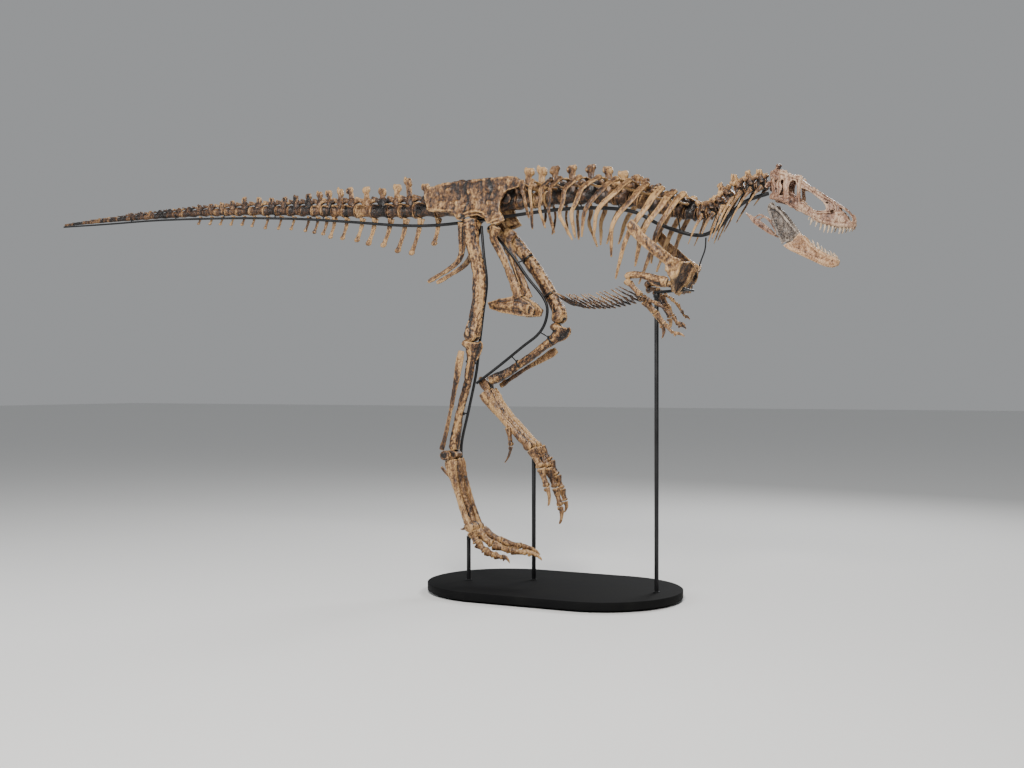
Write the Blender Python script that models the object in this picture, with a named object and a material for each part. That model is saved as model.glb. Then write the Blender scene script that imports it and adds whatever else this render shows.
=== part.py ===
"""A young allosaur's skeleton in a running pose, on its museum stand.

Metres, +Z up. +X runs towards the head and +Y towards the animal's left.
The origin is the centre of the stand's underside.
"""
import math

import bmesh
import bpy
import numpy as np
from mathutils import Vector

# ---------------------------------------------------------------- driving dimensions
GAP = 0.0004            # clearance between neighbouring pieces

BASE_LENGTH = 1.73
BASE_WIDTH = 1.08
BASE_TOP = 0.065
PLINTH_HEIGHT = 0.015
PLINTH_INSET = 0.03
BASE_CHAMFER = 0.004

ROD_RADIUS = 0.0145
BAR_RADIUS = 0.0075     # pipes down the legs
HANGER_RADIUS = 0.005
BRACKET_RADIUS = 0.0095

# Centre line of the vertebral column, from the tail's tip to the skull, as (x, z).
COLUMN = (
    (-4.345, 2.668), (-3.90, 2.680), (-3.40, 2.684), (-2.95, 2.683), (-2.47, 2.667), (-2.02, 2.642),
    (-1.59, 2.612), (-1.20, 2.588), (-0.86, 2.578), (-0.50, 2.583), (0.00, 2.598),
    (0.33, 2.592), (0.60, 2.545), (0.81, 2.478), (0.96, 2.437), (1.064, 2.437),
    (1.127, 2.468), (1.18, 2.510), (1.234, 2.550), (1.30, 2.572), (1.43, 2.590),
)
SACRUM_X = (-0.86, -0.25)
TAIL_END_X = -4.345
TAIL_PITCH = 0.095      # length of a vertebra near the tail's tip
NECK_X = (0.985, 1.425)
# Where the spines of the back stand: the mount doesn't space them evenly.
BACK_X = (-0.170, -0.079, 0.015, 0.136, 0.270, 0.390, 0.496, 0.583, 0.643, 0.720, 0.800,
          0.875, 0.945)
TAIL_SPINE_X = (-0.963, -1.105, -1.190, -1.313, -1.446, -1.586, -1.666, -1.766, -1.846, -1.940,
                -2.052, -2.156, -2.271, -2.387, -2.525, -2.635, -2.735, -2.84, -2.95, -3.06)
CHEVRON_X = (-1.083, -1.195, -1.313, -1.437, -1.535, -1.657, -1.761, -1.824, -1.901, -1.979,
             -2.106, -2.221, -2.341, -2.464, -2.556, -2.66, -2.76, -2.86, -2.97)

WAISTED_ABOVE = 0.045   # bodies of a smaller radius are drawn as plain tapers
# Radius of a vertebral body, and how far its spine rises over the centre line, by x.
BODY_RADIUS = ((-4.345, 0.006), (-3.4, 0.021), (-2.47, 0.036), (-1.6, 0.050),
               (-1.0, 0.058), (0.6, 0.058), (0.95, 0.048), (1.43, 0.036))
SPINE_RISE = ((-3.2, 0.050), (-2.735, 0.072), (-2.635, 0.085), (-2.525, 0.108), (-2.271, 0.098),
              (-2.10, 0.105), (-1.846, 0.140), (-1.586, 0.172), (-1.446, 0.176), (-1.313, 0.162),
              (-1.190, 0.190), (-1.105, 0.228), (-0.963, 0.185), (-0.17, 0.218), (0.27, 0.202),
              (0.39, 0.192), (0.496, 0.175), (0.583, 0.162), (0.643, 0.150), (0.72, 0.132),
              (0.80, 0.105), (1.0, 0.075), (1.12, 0.070), (1.20, 0.125), (1.40, 0.105))

# Ribs of the trunk from the hip forwards. Each row: x of the head, how far its shoulder, bend
# and tip lie behind the head, how far the tip drops, and how far the rib stands out.
RIBS = (
    (-0.170, -0.014, -0.045, -0.057, 0.240, 0.160),
    (-0.098, -0.010, -0.033, -0.022, 0.320, 0.190),
    (0.035, 0.040, 0.034, 0.008, 0.322, 0.215),
    (0.100, 0.032, 0.025, 0.000, 0.361, 0.235),
    (0.232, 0.060, 0.078, 0.002, 0.412, 0.245),
    (0.365, 0.077, 0.126, 0.114, 0.391, 0.250),
    (0.482, 0.056, 0.155, 0.188, 0.369, 0.250),
    (0.572, 0.046, 0.164, 0.195, 0.356, 0.250),
    (0.684, 0.052, 0.172, 0.190, 0.455, 0.250),
    (0.782, 0.060, 0.186, 0.262, 0.560, 0.245),
    (0.862, 0.052, 0.160, 0.216, 0.460, 0.235),
    (0.925, 0.052, 0.142, 0.182, 0.425, 0.215),
)

SACRAL_REACH = 0.074    # how far the sacrum's arms reach out to the hip blades
HIP_HALF_WIDTH = 0.125
HIP_OFFSET = 0.055      # how far outside the socket the femur's shaft starts

BONE_TAN = (0.56, 0.42, 0.28, 1.0)
BONE_PALE = (0.68, 0.58, 0.46, 1.0)
STEEL_BLACK = (0.018, 0.018, 0.020, 1.0)

# Stand: rods as (x, y, top), pipes as routes.
REAR_ROD = (-0.578, -0.09, 0.36)
MIDDLE_ROD = (-0.187, 0.105, 0.90)
FRONT_ROD = (0.716, 0.0, 1.935)
BRACKET_Z = 1.958
SPINE_PIPE = (
    (-4.34, -0.014, 2.654), (-3.85, -0.017, 2.650), (-3.40, -0.020, 2.650),
    (-2.95, -0.022, 2.637), (-2.47, -0.024, 2.614), (-2.00, -0.024, 2.580),
    (-1.58, -0.022, 2.535), (-1.17, -0.020, 2.487), (-0.86, -0.012, 2.472),
    (-0.50, 0, 2.490), (0.0, 0, 2.523), (0.33, 0, 2.516), (0.56, 0, 2.478),
    (0.72, 0, 2.395), (0.84, 0, 2.345), (0.95, 0, 2.310), (1.04, 0, 2.308),
    (1.13, 0, 2.355), (1.21, 0, 2.440), (1.30, 0, 2.500), (1.43, 0, 2.535),
)
HANGER_PIPE = ((1.038, 0, 2.288), (1.032, 0, 2.215), (1.008, 0, 2.150), (0.996, 0, 2.112))
LEFT_LEG_PIPE = (
    (-0.50, 0.050, 2.44), (-0.322, 0.050, 2.246), (-0.215, 0.066, 2.093), (-0.114, 0.085, 1.965),
    (-0.080, 0.088, 1.880), (-0.098, 0.084, 1.780), (-0.152, 0.080, 1.705),
    (-0.250, 0.076, 1.635), (-0.420, 0.070, 1.510), (-0.600, 0.066, 1.385),
)
RIGHT_LEG_PIPE = (
    (-0.50, -0.055, 2.44), (-0.475, -0.070, 2.25), (-0.450, -0.075, 2.05), (-0.475, -0.080, 1.85),
    (-0.500, -0.080, 1.66), (-0.530, -0.075, 1.45), (-0.590, -0.070, 1.20),
    (-0.650, -0.062, 0.95), (-0.630, -0.052, 0.72), (-0.590, -0.050, 0.52),
    (-0.578, -0.054, 0.385),
)

# Neck and chest
NECK_RIB_TIPS = ((0.940, 2.240), (1.030, 2.300), (1.068, 2.246), (1.092, 2.263),
                 (1.130, 2.314), (1.210, 2.371), (1.320, 2.470))
CHEVRON_TIP_Z = ((-3.2, 2.640), (-2.97, 2.600), (-2.556, 2.570), (-2.341, 2.532), (-2.106, 2.512),
                 (-1.979, 2.492), (-1.824, 2.460), (-1.761, 2.433), (-1.657, 2.419),
                 (-1.535, 2.397), (-1.437, 2.369), (-1.313, 2.351), (-1.195, 2.306),
                 (-1.083, 2.285))
CHEVRON_LEAN = ((-3.0, 0.02), (-2.1, 0.03), (-1.66, 0.04), (-1.44, 0.055), (-1.083, 0.075))
CHEVRON_Y = 0.006
CHEVRON_STEP = 0.01     # added to the lean where a chevron meets its vertebra
SIDE_PROCESSES = 4       # tail vertebrae that carry side processes
BELLY_ROWS = 6
KEEL_PATH = ((0.13, 0, 1.895), (0.25, 0, 1.866), (0.42, 0, 1.864), (0.55, 0, 1.886),
             (0.655, 0, 1.915))

# Pelvis, as side outlines and paths of the animal's left side.
ILIUM_OUTLINE = (
    (-0.178, 2.712), (-0.216, 2.740), (-0.275, 2.755), (-0.400, 2.752), (-0.585, 2.746),
    (-0.777, 2.738), (-0.870, 2.717), (-0.915, 2.665), (-0.900, 2.600), (-0.870, 2.556),
    (-0.690, 2.538), (-0.640, 2.482), (-0.605, 2.474), (-0.575, 2.496), (-0.500, 2.503),
    (-0.438, 2.480), (-0.420, 2.440), (-0.350, 2.432), (-0.290, 2.455), (-0.330, 2.530),
    (-0.325, 2.610), (-0.287, 2.655), (-0.200, 2.672),
)
PUBIS_PATH = ((-0.358, 0.118, 2.424), (-0.388, 0.100, 2.350), (-0.352, 0.082, 2.267),
              (-0.308, 0.075, 2.173), (-0.264, 0.073, 2.072), (-0.215, 0.070, 1.950))
BOOT_OUTLINE = ((-0.446, 1.925), (-0.360, 1.946), (-0.223, 1.966), (-0.143, 1.918),
                (-0.100, 1.871), (-0.114, 1.828), (-0.201, 1.826), (-0.349, 1.856),
                (-0.431, 1.882))
ISCHIUM_PATH = ((-0.612, 0.112, 2.464), (-0.630, 0.090, 2.370), (-0.640, 0.070, 2.275),
                (-0.678, 0.062, 2.208), (-0.748, 0.060, 2.160), (-0.826, 0.060, 2.120),
                (-0.910, 0.060, 2.080))

# Hind legs. The right one stands under the hip, the left one swings forward.
RIGHT_LEG = {
    "femur": ((-0.522, 2.476), (-0.520, 2.400), (-0.508, 2.310), (-0.482, 2.220),
              (-0.464, 2.120), (-0.463, 2.020), (-0.472, 1.920), (-0.492, 1.820),
              (-0.506, 1.740), (-0.508, 1.690)),
    "knee_y": -0.150,
    "foot_y": -0.130,
    "tibia": ((-0.515, 1.660), (-0.522, 1.600), (-0.533, 1.530), (-0.558, 1.400),
              (-0.590, 1.290), (-0.622, 1.180), (-0.648, 1.070), (-0.664, 0.958)),
    "fibula": ((-0.570, 1.560), (-0.603, 1.440), (-0.632, 1.307), (-0.663, 1.173),
               (-0.697, 1.039), (-0.728, 0.955)),
    "ankle": (-0.680, 0.905),
    "ankle_axis": (1, 0, 0.10),
    "metatarsus": ((-0.664, 0.862), (-0.645, 0.790), (-0.612, 0.690), (-0.580, 0.600),
                   (-0.548, 0.510), (-0.508, 0.420)),
    "splint": ((-0.742, 0.826), (-0.662, 0.735)),
    "toe_spread": 0.35,
    "toes": (
        ("4", ((-0.505, 0.388), (-0.458, 0.322), (-0.392, 0.275), (-0.318, 0.254),
               (-0.275, 0.250), (-0.215, 0.236)), 5, 0.048),
        ("3", ((-0.490, 0.385), (-0.390, 0.322), (-0.277, 0.292), (-0.195, 0.280),
               (-0.130, 0.282), (-0.015, 0.260)), 4, 0.000),
        ("2", ((-0.470, 0.395), (-0.354, 0.338), (-0.228, 0.308), (-0.150, 0.312),
               (-0.061, 0.285)), 3, -0.050),
        ("1", ((-0.560, 0.440), (-0.610, 0.418), (-0.648, 0.388)), 2, -0.050),
    ),
}
LEFT_LEG = {
    "femur": ((-0.500, 2.465), (-0.415, 2.395), (-0.338, 2.325), (-0.265, 2.240),
              (-0.205, 2.165), (-0.150, 2.085), (-0.098, 2.005), (-0.055, 1.935),
              (-0.022, 1.870), (-0.006, 1.815)),
    "knee_y": 0.145,
    "foot_y": 0.115,
    "tibia": ((-0.002, 1.765), (-0.022, 1.714), (-0.066, 1.671), (-0.122, 1.634),
              (-0.205, 1.572), (-0.310, 1.508), (-0.405, 1.450), (-0.510, 1.404)),
    "fibula": ((-0.095, 1.588), (-0.175, 1.545), (-0.265, 1.496), (-0.365, 1.436),
               (-0.475, 1.366)),
    "ankle": (-0.555, 1.378),
    "ankle_axis": (0.55, 0, -0.8),
    "metatarsus": ((-0.530, 1.312), (-0.470, 1.235), (-0.400, 1.160), (-0.330, 1.090),
                   (-0.262, 1.025), (-0.196, 0.960)),
    "toe_spread": 0.35,
    "toes": (
        ("2", ((-0.165, 0.925), (-0.124, 0.850), (-0.092, 0.760), (-0.058, 0.665),
               (-0.034, 0.578)), 3, -0.050),
        ("3", ((-0.150, 0.925), (-0.095, 0.830), (-0.045, 0.725), (-0.012, 0.630),
               (0.008, 0.540), (0.018, 0.450)), 4, 0.000),
        ("4", ((-0.140, 0.930), (-0.085, 0.845), (-0.040, 0.750), (-0.008, 0.660),
               (0.012, 0.590), (0.022, 0.520)), 5, 0.050),
        ("1", ((-0.350, 1.048), (-0.336, 0.990), (-0.328, 0.920), (-0.362, 0.845)), 2, -0.052),
    ),
}

# Forelimb of the animal's left side.
SCAPULA_OUTLINE = (
    (0.618, 2.346), (0.650, 2.396), (0.695, 2.352), (0.735, 2.297), (0.847, 2.203),
    (0.900, 2.158), (0.945, 2.138), (0.938, 2.060), (0.900, 2.018), (0.882, 2.036),
    (0.866, 2.098), (0.815, 2.143), (0.764, 2.186), (0.700, 2.240), (0.640, 2.306),
)
CORACOID_OUTLINE = ((0.973, 0.050, 2.135), (0.940, 0.042, 2.066), (0.890, 0.042, 1.995),
                    (0.848, 0.050, 1.946), (0.866, 0.120, 1.955), (0.884, 0.195, 2.010),
                    (0.908, 0.225, 2.070), (0.940, 0.170, 2.128))
HUMERUS_PATH = ((0.875, 0.262, 1.994), (0.815, 0.260, 2.012), (0.745, 0.254, 2.038),
                (0.675, 0.246, 2.052), (0.610, 0.240, 2.050))
FOREARM_PATH = ((0.614, 0.238, 2.012), (0.650, 0.236, 1.975), (0.697, 0.230, 1.928))
GIRDLE_SET_BACK = 0.28      # share of an elbow's shift that its shoulder blade makes too
WRIST_PATH = ((0.700, 0.228, 1.916), (0.742, 0.224, 1.884))
FINGERS = (
    (((0.700, 0.198, 1.890), (0.757, 0.190, 1.826), (0.812, 0.188, 1.768),
      (0.834, 0.188, 1.662)), 3, 0.034),
    (((0.728, 0.222, 1.890), (0.811, 0.220, 1.792), (0.872, 0.218, 1.714),
      (0.905, 0.218, 1.685), (0.972, 0.218, 1.683)), 4, 0.032),
    (((0.738, 0.248, 1.902), (0.845, 0.250, 1.850), (0.900, 0.250, 1.795),
      (0.948, 0.250, 1.744), (0.990, 0.250, 1.742)), 5, 0.026),
)

# Head: side view edges as (x, z) tables, openings as outlines.
SKULL_BACK_X = 1.448
SKULL_TIP_X = 1.946
SKULL_SECTIONS = (1.450, 1.480, 1.530, 1.600, 1.635, 1.690, 1.760, 1.830, 1.890, 1.928, 1.946)
SKULL_UPPER = ((1.450, 2.655), (1.480, 2.680), (1.540, 2.652), (1.632, 2.612), (1.700, 2.548),
               (1.816, 2.473), (1.890, 2.424), (1.930, 2.378), (1.946, 2.325))
SKULL_LOWER = ((1.450, 2.500), (1.490, 2.484), (1.530, 2.466), (1.575, 2.446), (1.620, 2.414),
               (1.682, 2.382), (1.746, 2.336), (1.816, 2.312), (1.914, 2.290), (1.946, 2.282))
ORBIT = ((1.573, 2.585), (1.607, 2.590), (1.613, 2.500), (1.596, 2.486), (1.568, 2.508))
TEMPORAL_OPENING = ((1.514, 2.592), (1.532, 2.598), (1.536, 2.515), (1.506, 2.512))
ANTORBITAL_OPENING = ((1.642, 2.536), (1.700, 2.520), (1.748, 2.468), (1.784, 2.424),
                      (1.778, 2.404), (1.711, 2.407), (1.668, 2.436), (1.638, 2.474))
NARIS = ((1.866, 2.404), (1.892, 2.400), (1.922, 2.362), (1.928, 2.338), (1.912, 2.350))
UPPER_TEETH = 7
LOWER_TEETH = 5
JAW_OUTLINE = (
    (1.446, 2.452), (1.470, 2.467), (1.490, 2.456), (1.524, 2.430), (1.578, 2.361),
    (1.622, 2.288), (1.700, 2.200), (1.768, 2.154), (1.828, 2.127), (1.856, 2.100),
    (1.842, 2.080), (1.808, 2.068), (1.754, 2.082), (1.676, 2.124), (1.580, 2.172),
    (1.527, 2.213), (1.512, 2.251), (1.490, 2.320), (1.458, 2.386), (1.442, 2.423),
)
JAW_UPPER_EDGE = ((1.622, 2.288), (1.700, 2.200), (1.768, 2.154), (1.828, 2.127))
HYOID_PATH = ((1.300, 0.040, 2.420), (1.335, 0.046, 2.384), (1.375, 0.050, 2.362),
              (1.425, 0.052, 2.322), (1.478, 0.052, 2.275))


# ---------------------------------------------------------------- small helpers
def interpolate(table, value):
    """Value of a short (position, size) table, straight between its rows."""
    positions, sizes = zip(*table)
    return float(np.interp(value, positions, sizes))


def smooth_path(points, count):
    """COUNT points along a smooth curve through POINTS, evenly spaced in its parameter."""
    pts = [Vector(p) for p in points]
    pts = [2 * pts[0] - pts[1]] + pts + [2 * pts[-1] - pts[-2]]
    spans = len(pts) - 3
    path = []
    for i in range(count):
        t = i * spans / (count - 1)
        k = min(int(t), spans - 1)
        t -= k
        a, b, c, d = pts[k:k + 4]
        path.append(0.5 * (2 * b + (c - a) * t + (2 * a - 5 * b + 4 * c - d) * t * t
                           + (3 * b - a - 3 * c + d) * t ** 3))
    return path


COLUMN_LINE = [(p.x, p.y) for p in smooth_path([(x, z, 0) for x, z in COLUMN], 400)]


def column_z(x):
    """Height of the column's centre line over the floor at X."""
    return interpolate(COLUMN_LINE, x)


def new_mesh_object(name, bm):
    """An object from a bmesh whose faces have been turned outwards."""
    bmesh.ops.recalc_face_normals(bm, faces=bm.faces)
    mesh = bpy.data.meshes.new(name)
    bm.to_mesh(mesh)
    bm.free()
    body = bpy.data.objects.new(name, mesh)
    bpy.context.scene.collection.objects.link(body)
    return body


def loft(rings):
    """A closed body through RINGS, lists of as many points each, with flat ends."""
    bm = bmesh.new()
    rows = [[bm.verts.new(p) for p in ring] for ring in rings]
    for low, high in zip(rows, rows[1:]):
        for k in range(len(low)):
            n = (k + 1) % len(low)
            bm.faces.new((low[k], low[n], high[n], high[k]))
    bm.faces.new(rows[0][::-1])
    bm.faces.new(rows[-1])
    return new_mesh_object("piece", bm)


def ring(centre, along, width, height, sides, side_axis=(0, 1, 0), turn=0.5):
    """A section across ALONG: WIDTH is measured along SIDE_AXIS, HEIGHT across it."""
    along = Vector(along).normalized()
    side = Vector(side_axis)
    side = (side - along * side.dot(along)).normalized()
    up = along.cross(side)
    points = []
    for k in range(sides):
        angle = 2 * math.pi * (k + turn) / sides
        points.append(Vector(centre) + side * (width / 2 * math.cos(angle))
                      + up * (height / 2 * math.sin(angle)))
    return points


def shaft(path, sizes, sides=6, side_axis=(0, 1, 0)):
    """A bone along PATH. SIZES holds (position 0 to 1, width, height) rows."""
    rings = []
    last = len(path) - 1
    spots, widths, heights = zip(*sizes)
    for k, point in enumerate(path):
        along = Vector(path[min(k + 1, last)]) - Vector(path[max(k - 1, 0)])
        width = float(np.interp(k / last, spots, widths))
        height = float(np.interp(k / last, spots, heights))
        rings.append(ring(point, along, width, height, sides, side_axis))
    return loft(rings)


def rod(path, radius, sides=8):
    """A round bar of one RADIUS along PATH."""
    return shaft(path, ((0, 2 * radius, 2 * radius), (1, 2 * radius, 2 * radius)), sides)


def inset_outline(outline, distance):
    """OUTLINE, a closed list of (x, z) points, moved inwards by DISTANCE."""
    turned = sum(a[0] * b[1] - b[0] * a[1] for a, b in zip(outline, outline[1:] + outline[:1]))
    sign = 1 if turned > 0 else -1
    moved = []
    for k, point in enumerate(outline):
        before = Vector(point) - Vector(outline[k - 1])
        after = Vector(outline[(k + 1) % len(outline)]) - Vector(point)
        normal = before.normalized() + after.normalized()
        normal = Vector((-normal.y, normal.x)).normalized()
        moved.append(Vector(point) + normal * (sign * distance))
    return moved


def plate(outline, middle, thickness, rim=0.008):
    """A flat bone: OUTLINE in (x, z), MIDDLE(x, z) its y, thinner at its rim."""
    outline = list(outline)
    inner = inset_outline(outline, rim)
    half = thickness / 2
    return loft((
        [(p[0], middle(p[0], p[1]) - half, p[1]) for p in inner],
        [(p[0], middle(p[0], p[1]), p[1]) for p in outline],
        [(p[0], middle(p[0], p[1]) + half, p[1]) for p in inner],
    ))


def sheet(points, thickness):
    """A thin bone whose face runs through POINTS in space, thickened both ways."""
    middle = sum((Vector(p) for p in points), Vector()) / len(points)
    normal = Vector()
    for a, b in zip(points, points[1:] + points[:1]):
        normal += (Vector(a) - middle).cross(Vector(b) - middle)
    normal.normalize()
    core = [middle + (Vector(p) - middle) * 0.90 for p in points]
    return loft(([p + normal * (thickness / 2) for p in core], [Vector(p) for p in points],
                 [p - normal * (thickness / 2) for p in core]))


def wedge(base, tip, base_size, tip_size, side_axis=(0, 1, 0)):
    """A four-sided taper from BASE to TIP, sizes as (width, height)."""
    return shaft((base, tip), ((0,) + tuple(base_size), (1,) + tuple(tip_size)), 4, side_axis)


def hide(body):
    """Marks BODY as a cutter or a guide."""
    body.hide_render = True
    body.display_type = "WIRE"


def mirrored(points, side):
    """POINTS given for the animal's left, on SIDE +1 (left) or -1 (right)."""
    return [(p[0], p[1] * side, p[2]) for p in points]


MATERIALS = {}


def material(name, colour, roughness, metallic=0.0):
    """A Principled material, made once."""
    if name not in MATERIALS:
        made = bpy.data.materials.new(name)
        made.use_nodes = True
        shader = made.node_tree.nodes["Principled BSDF"]
        shader.inputs["Base Color"].default_value = colour
        shader.inputs["Roughness"].default_value = roughness
        shader.inputs["Metallic"].default_value = metallic
        MATERIALS[name] = made
    return MATERIALS[name]


def node(name, pieces, look, cutters=()):
    """One body NAME: the union of PIECES less CUTTERS."""
    body = pieces[0]
    body.name = name
    body.data.name = name
    group = bpy.data.collections.new(name + "_pieces")
    for piece in pieces[1:]:
        group.objects.link(piece)
        hide(piece)
    if len(pieces) > 1:
        union = body.modifiers.new("union", "BOOLEAN")
        union.operation = "UNION"
        union.solver = "EXACT"
        union.operand_type = "COLLECTION"
        union.collection = group
    for cutter in cutters:
        hide(cutter)
        cut = body.modifiers.new("cut", "BOOLEAN")
        cut.operation = "DIFFERENCE"
        cut.solver = "EXACT"
        cut.object = cutter
    body.data.materials.clear()
    body.data.materials.append(look)
    body.data.shade_smooth()
    body.data.set_sharp_from_angle(angle=math.radians(40))
    return body


def bone_look():
    return material("fossil_bone", BONE_TAN, 0.6)


def skull_look():
    return material("skull_bone", BONE_PALE, 0.55)


def steel_look():
    return material("black_steel", STEEL_BLACK, 0.4, 0.6)


def base_look():
    return material("base_paint", STEEL_BLACK, 0.45)


# ---------------------------------------------------------------- stand
def stadium(length, width, arc_steps=7):
    """Outline of a bar with round ends, as (x, y)."""
    radius = width / 2
    reach = length / 2 - radius
    points = []
    for end, start in ((1, -math.pi / 2), (-1, math.pi / 2)):
        for k in range(arc_steps + 1):
            angle = start + math.pi * k / arc_steps
            points.append((end * reach + radius * math.cos(angle), radius * math.sin(angle)))
    return points


def build_base():
    """The black slab with round ends on its recessed plinth."""
    plinth = stadium(BASE_LENGTH - 2 * PLINTH_INSET, BASE_WIDTH - 2 * PLINTH_INSET)
    edge = stadium(BASE_LENGTH, BASE_WIDTH)
    top = stadium(BASE_LENGTH - 2 * BASE_CHAMFER, BASE_WIDTH - 2 * BASE_CHAMFER)
    levels = ((plinth, 0.0), (plinth, PLINTH_HEIGHT), (edge, PLINTH_HEIGHT),
              (edge, BASE_TOP - BASE_CHAMFER), (top, BASE_TOP))
    slab = loft([[(x, y, z) for x, y in outline] for outline, z in levels])
    node("stand_base", [slab], base_look())


def build_rod(name, x, y, top):
    """A vertical rod standing on the base."""
    node(name, [rod(((x, y, BASE_TOP + GAP), (x, y, top)), ROD_RADIUS)], steel_look())


def build_bracket():
    """The bars on top of the front rod that carry the shoulder girdle."""
    front = 0.925
    rise = 0.012
    bar = rod(((FRONT_ROD[0] - 0.012, 0, BRACKET_Z), (front + 0.006, 0, BRACKET_Z + rise)),
              BRACKET_RADIUS)
    cross = rod(((front, -0.10, BRACKET_Z + rise), (front, 0.10, BRACKET_Z + rise)),
                BRACKET_RADIUS - 0.001)
    node("stand_chest_bracket", [bar, cross], steel_look())


def build_pipes():
    """The steel that carries the bones: along the back, down the legs, to the wishbone."""
    spine_path = smooth_path(SPINE_PIPE, 25)
    node("stand_spine_pipe", [shaft(spine_path, ((0, 0.013, 0.013), (0.5, 0.020, 0.020),
                                                 (1, 0.023, 0.023)), 5)], steel_look())
    node("stand_leg_pipe_left", [rod(smooth_path(LEFT_LEG_PIPE, 11), BAR_RADIUS, 5)],
         steel_look())
    node("stand_leg_pipe_right", [rod(smooth_path(RIGHT_LEG_PIPE, 13), BAR_RADIUS, 5)],
         steel_look())
    node("stand_wishbone_hanger", [rod(smooth_path(HANGER_PIPE, 5), HANGER_RADIUS, 5)],
         steel_look())


# ---------------------------------------------------------------- vertebral column
def column_stations(x_from, x_to, count):
    """COUNT points of the centre line between two x, evenly spaced along it."""
    xs = np.linspace(x_from, x_to, 200)
    line = [Vector((x, 0, column_z(x))) for x in xs]
    run = np.concatenate(([0], np.cumsum([(b - a).length for a, b in zip(line, line[1:])])))
    return [float(np.interp(d, run, xs)) for d in np.linspace(0, run[-1], count)]


def column_frame(x):
    """Centre, forward and upward directions of the column at X."""
    step = 0.01
    along = Vector((2 * step, 0, column_z(x + step) - column_z(x - step))).normalized()
    return Vector((x, 0, column_z(x))), along, Vector((-along.z, 0, along.x))


def column_ring(x, radius, ridge):
    """Section of a vertebral body with its arch."""
    centre, _, up = column_frame(x)
    half = [(0.62 * radius, -0.85 * radius), (radius, 0.0), (0.30 * radius, ridge)]
    outline = half + [(-y, u) for y, u in reversed(half)]
    return [centre + Vector((0, y, 0)) + up * u for y, u in outline]


def column_body(joints, waist=0.72):
    """The row of vertebral bodies between JOINTS. WAIST 1 draws them as one plain taper."""
    rings = []
    for k, x in enumerate(joints):
        radius = interpolate(BODY_RADIUS, x)
        rings.append(column_ring(x, radius, 1.45 * radius))
        if k + 1 < len(joints) and radius > WAISTED_ABOVE and waist < 1:
            middle = (x + joints[k + 1]) / 2
            rings.append(column_ring(middle, waist * radius, 1.30 * radius))
    return loft(rings)


def spine_plate(x, length, thickness, lean=0.0, foot_share=0.85, flare=1.0, rise=None):
    """A neural spine whose top stands RISE over the column at X, its foot LEAN ahead.

    FOOT_SHARE and FLARE are its length at the foot and at the top as shares of LENGTH.
    """
    rise = rise or interpolate(SPINE_RISE, x)
    foot = 0.7 * interpolate(BODY_RADIUS, x)
    rings = []
    for height, scale in ((foot, foot_share), (rise, flare)):
        middle = Vector((x + lean * (rise - height), 0, column_z(x) + height))
        ends = [middle + Vector((end * length * scale / 2, 0, 0)) for end in (-1, 1)]
        rings.append([p + Vector((0, y, 0)) for p, y in
                      ((ends[0], -thickness / 2), (ends[0], thickness / 2),
                       (ends[1], thickness / 2), (ends[1], -thickness / 2))])
    return loft(rings)


def side_process(x, reach, side, rise=0.6, back=0.03):
    """A flat transverse process standing out to one SIDE of the column."""
    centre, along, up = column_frame(x)
    radius = interpolate(BODY_RADIUS, x)
    start = centre + up * (rise * radius) + Vector((0, side * radius * 0.3, 0))
    tip = start + Vector((0, side * reach, 0.15 * reach)) - along * back
    return wedge(start, tip, (0.034, 0.016), (0.022, 0.010), (1, 0, 0))


def chevron(tip_x):
    """The bone under a tail joint: a blade that slants back past the pipe to its tip."""
    lean = interpolate(CHEVRON_LEAN, tip_x)
    tip = Vector((tip_x, CHEVRON_Y, interpolate(CHEVRON_TIP_Z, tip_x)))
    centre, _, _ = column_frame(tip_x + lean + CHEVRON_STEP)
    top = centre - Vector((0, -CHEVRON_Y, 0.5 * interpolate(BODY_RADIUS, tip_x)))
    return shaft((top, tip), ((0, 0.012, 0.034), (1, 0.013, 0.050)), 4)


def tail_joints():
    """The x of every joint of the tail, from the pelvis back to the tip."""
    joints = [SACRUM_X[0] - 0.004]
    joints += [(a + b) / 2 for a, b in zip(TAIL_SPINE_X, TAIL_SPINE_X[1:])]
    rest = round((joints[-1] - TAIL_END_X) / TAIL_PITCH)
    return joints + list(np.linspace(joints[-1], TAIL_END_X, rest + 1))[1:]


def build_tail():
    """The tail in four lengths, with spines, side processes and chevrons."""
    joints = tail_joints()
    cuts = (0, 8, 15, 23, len(joints) - 1)
    for part, (first, last) in enumerate(zip(cuts, cuts[1:]), 1):
        run = joints[first:last + 1]
        run[0] -= GAP
        pieces = [column_body(run[::-1])]
        for k, x in enumerate(TAIL_SPINE_X):
            if run[-1] < x < run[0]:
                pieces.append(spine_plate(x, 0.050, 0.018, lean=0.12, flare=0.95))
                if k < SIDE_PROCESSES:
                    pieces += [side_process(x, 0.10 - 0.010 * k, side) for side in (1, -1)]
        for x in CHEVRON_X:
            if run[-1] < x + interpolate(CHEVRON_LEAN, x) + CHEVRON_STEP < run[0]:
                pieces.append(chevron(x))
        node(f"tail_{part}", pieces, bone_look())


def build_neck():
    """The neck with its spines and its long thin ribs, as one row of bones."""
    stations = column_stations(NECK_X[0], NECK_X[1], len(NECK_RIB_TIPS) + 1)
    pieces = [column_body(stations)]
    for a, b, (tip_x, tip_z) in zip(stations, stations[1:], NECK_RIB_TIPS):
        x = (a + b) / 2
        pieces.append(spine_plate(x, 0.036, 0.014, lean=-0.15, foot_share=1.0, flare=0.75))
        centre, _, _ = column_frame(x)
        for side in (1, -1):
            head = centre + Vector((0, side * 0.018, 0.004))
            tip = Vector((tip_x, side * 0.060, tip_z))
            pieces.append(shaft((head, tip), ((0, 0.018, 0.036), (1, 0.008, 0.012)), 3))
    node("neck", pieces, bone_look())


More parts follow.
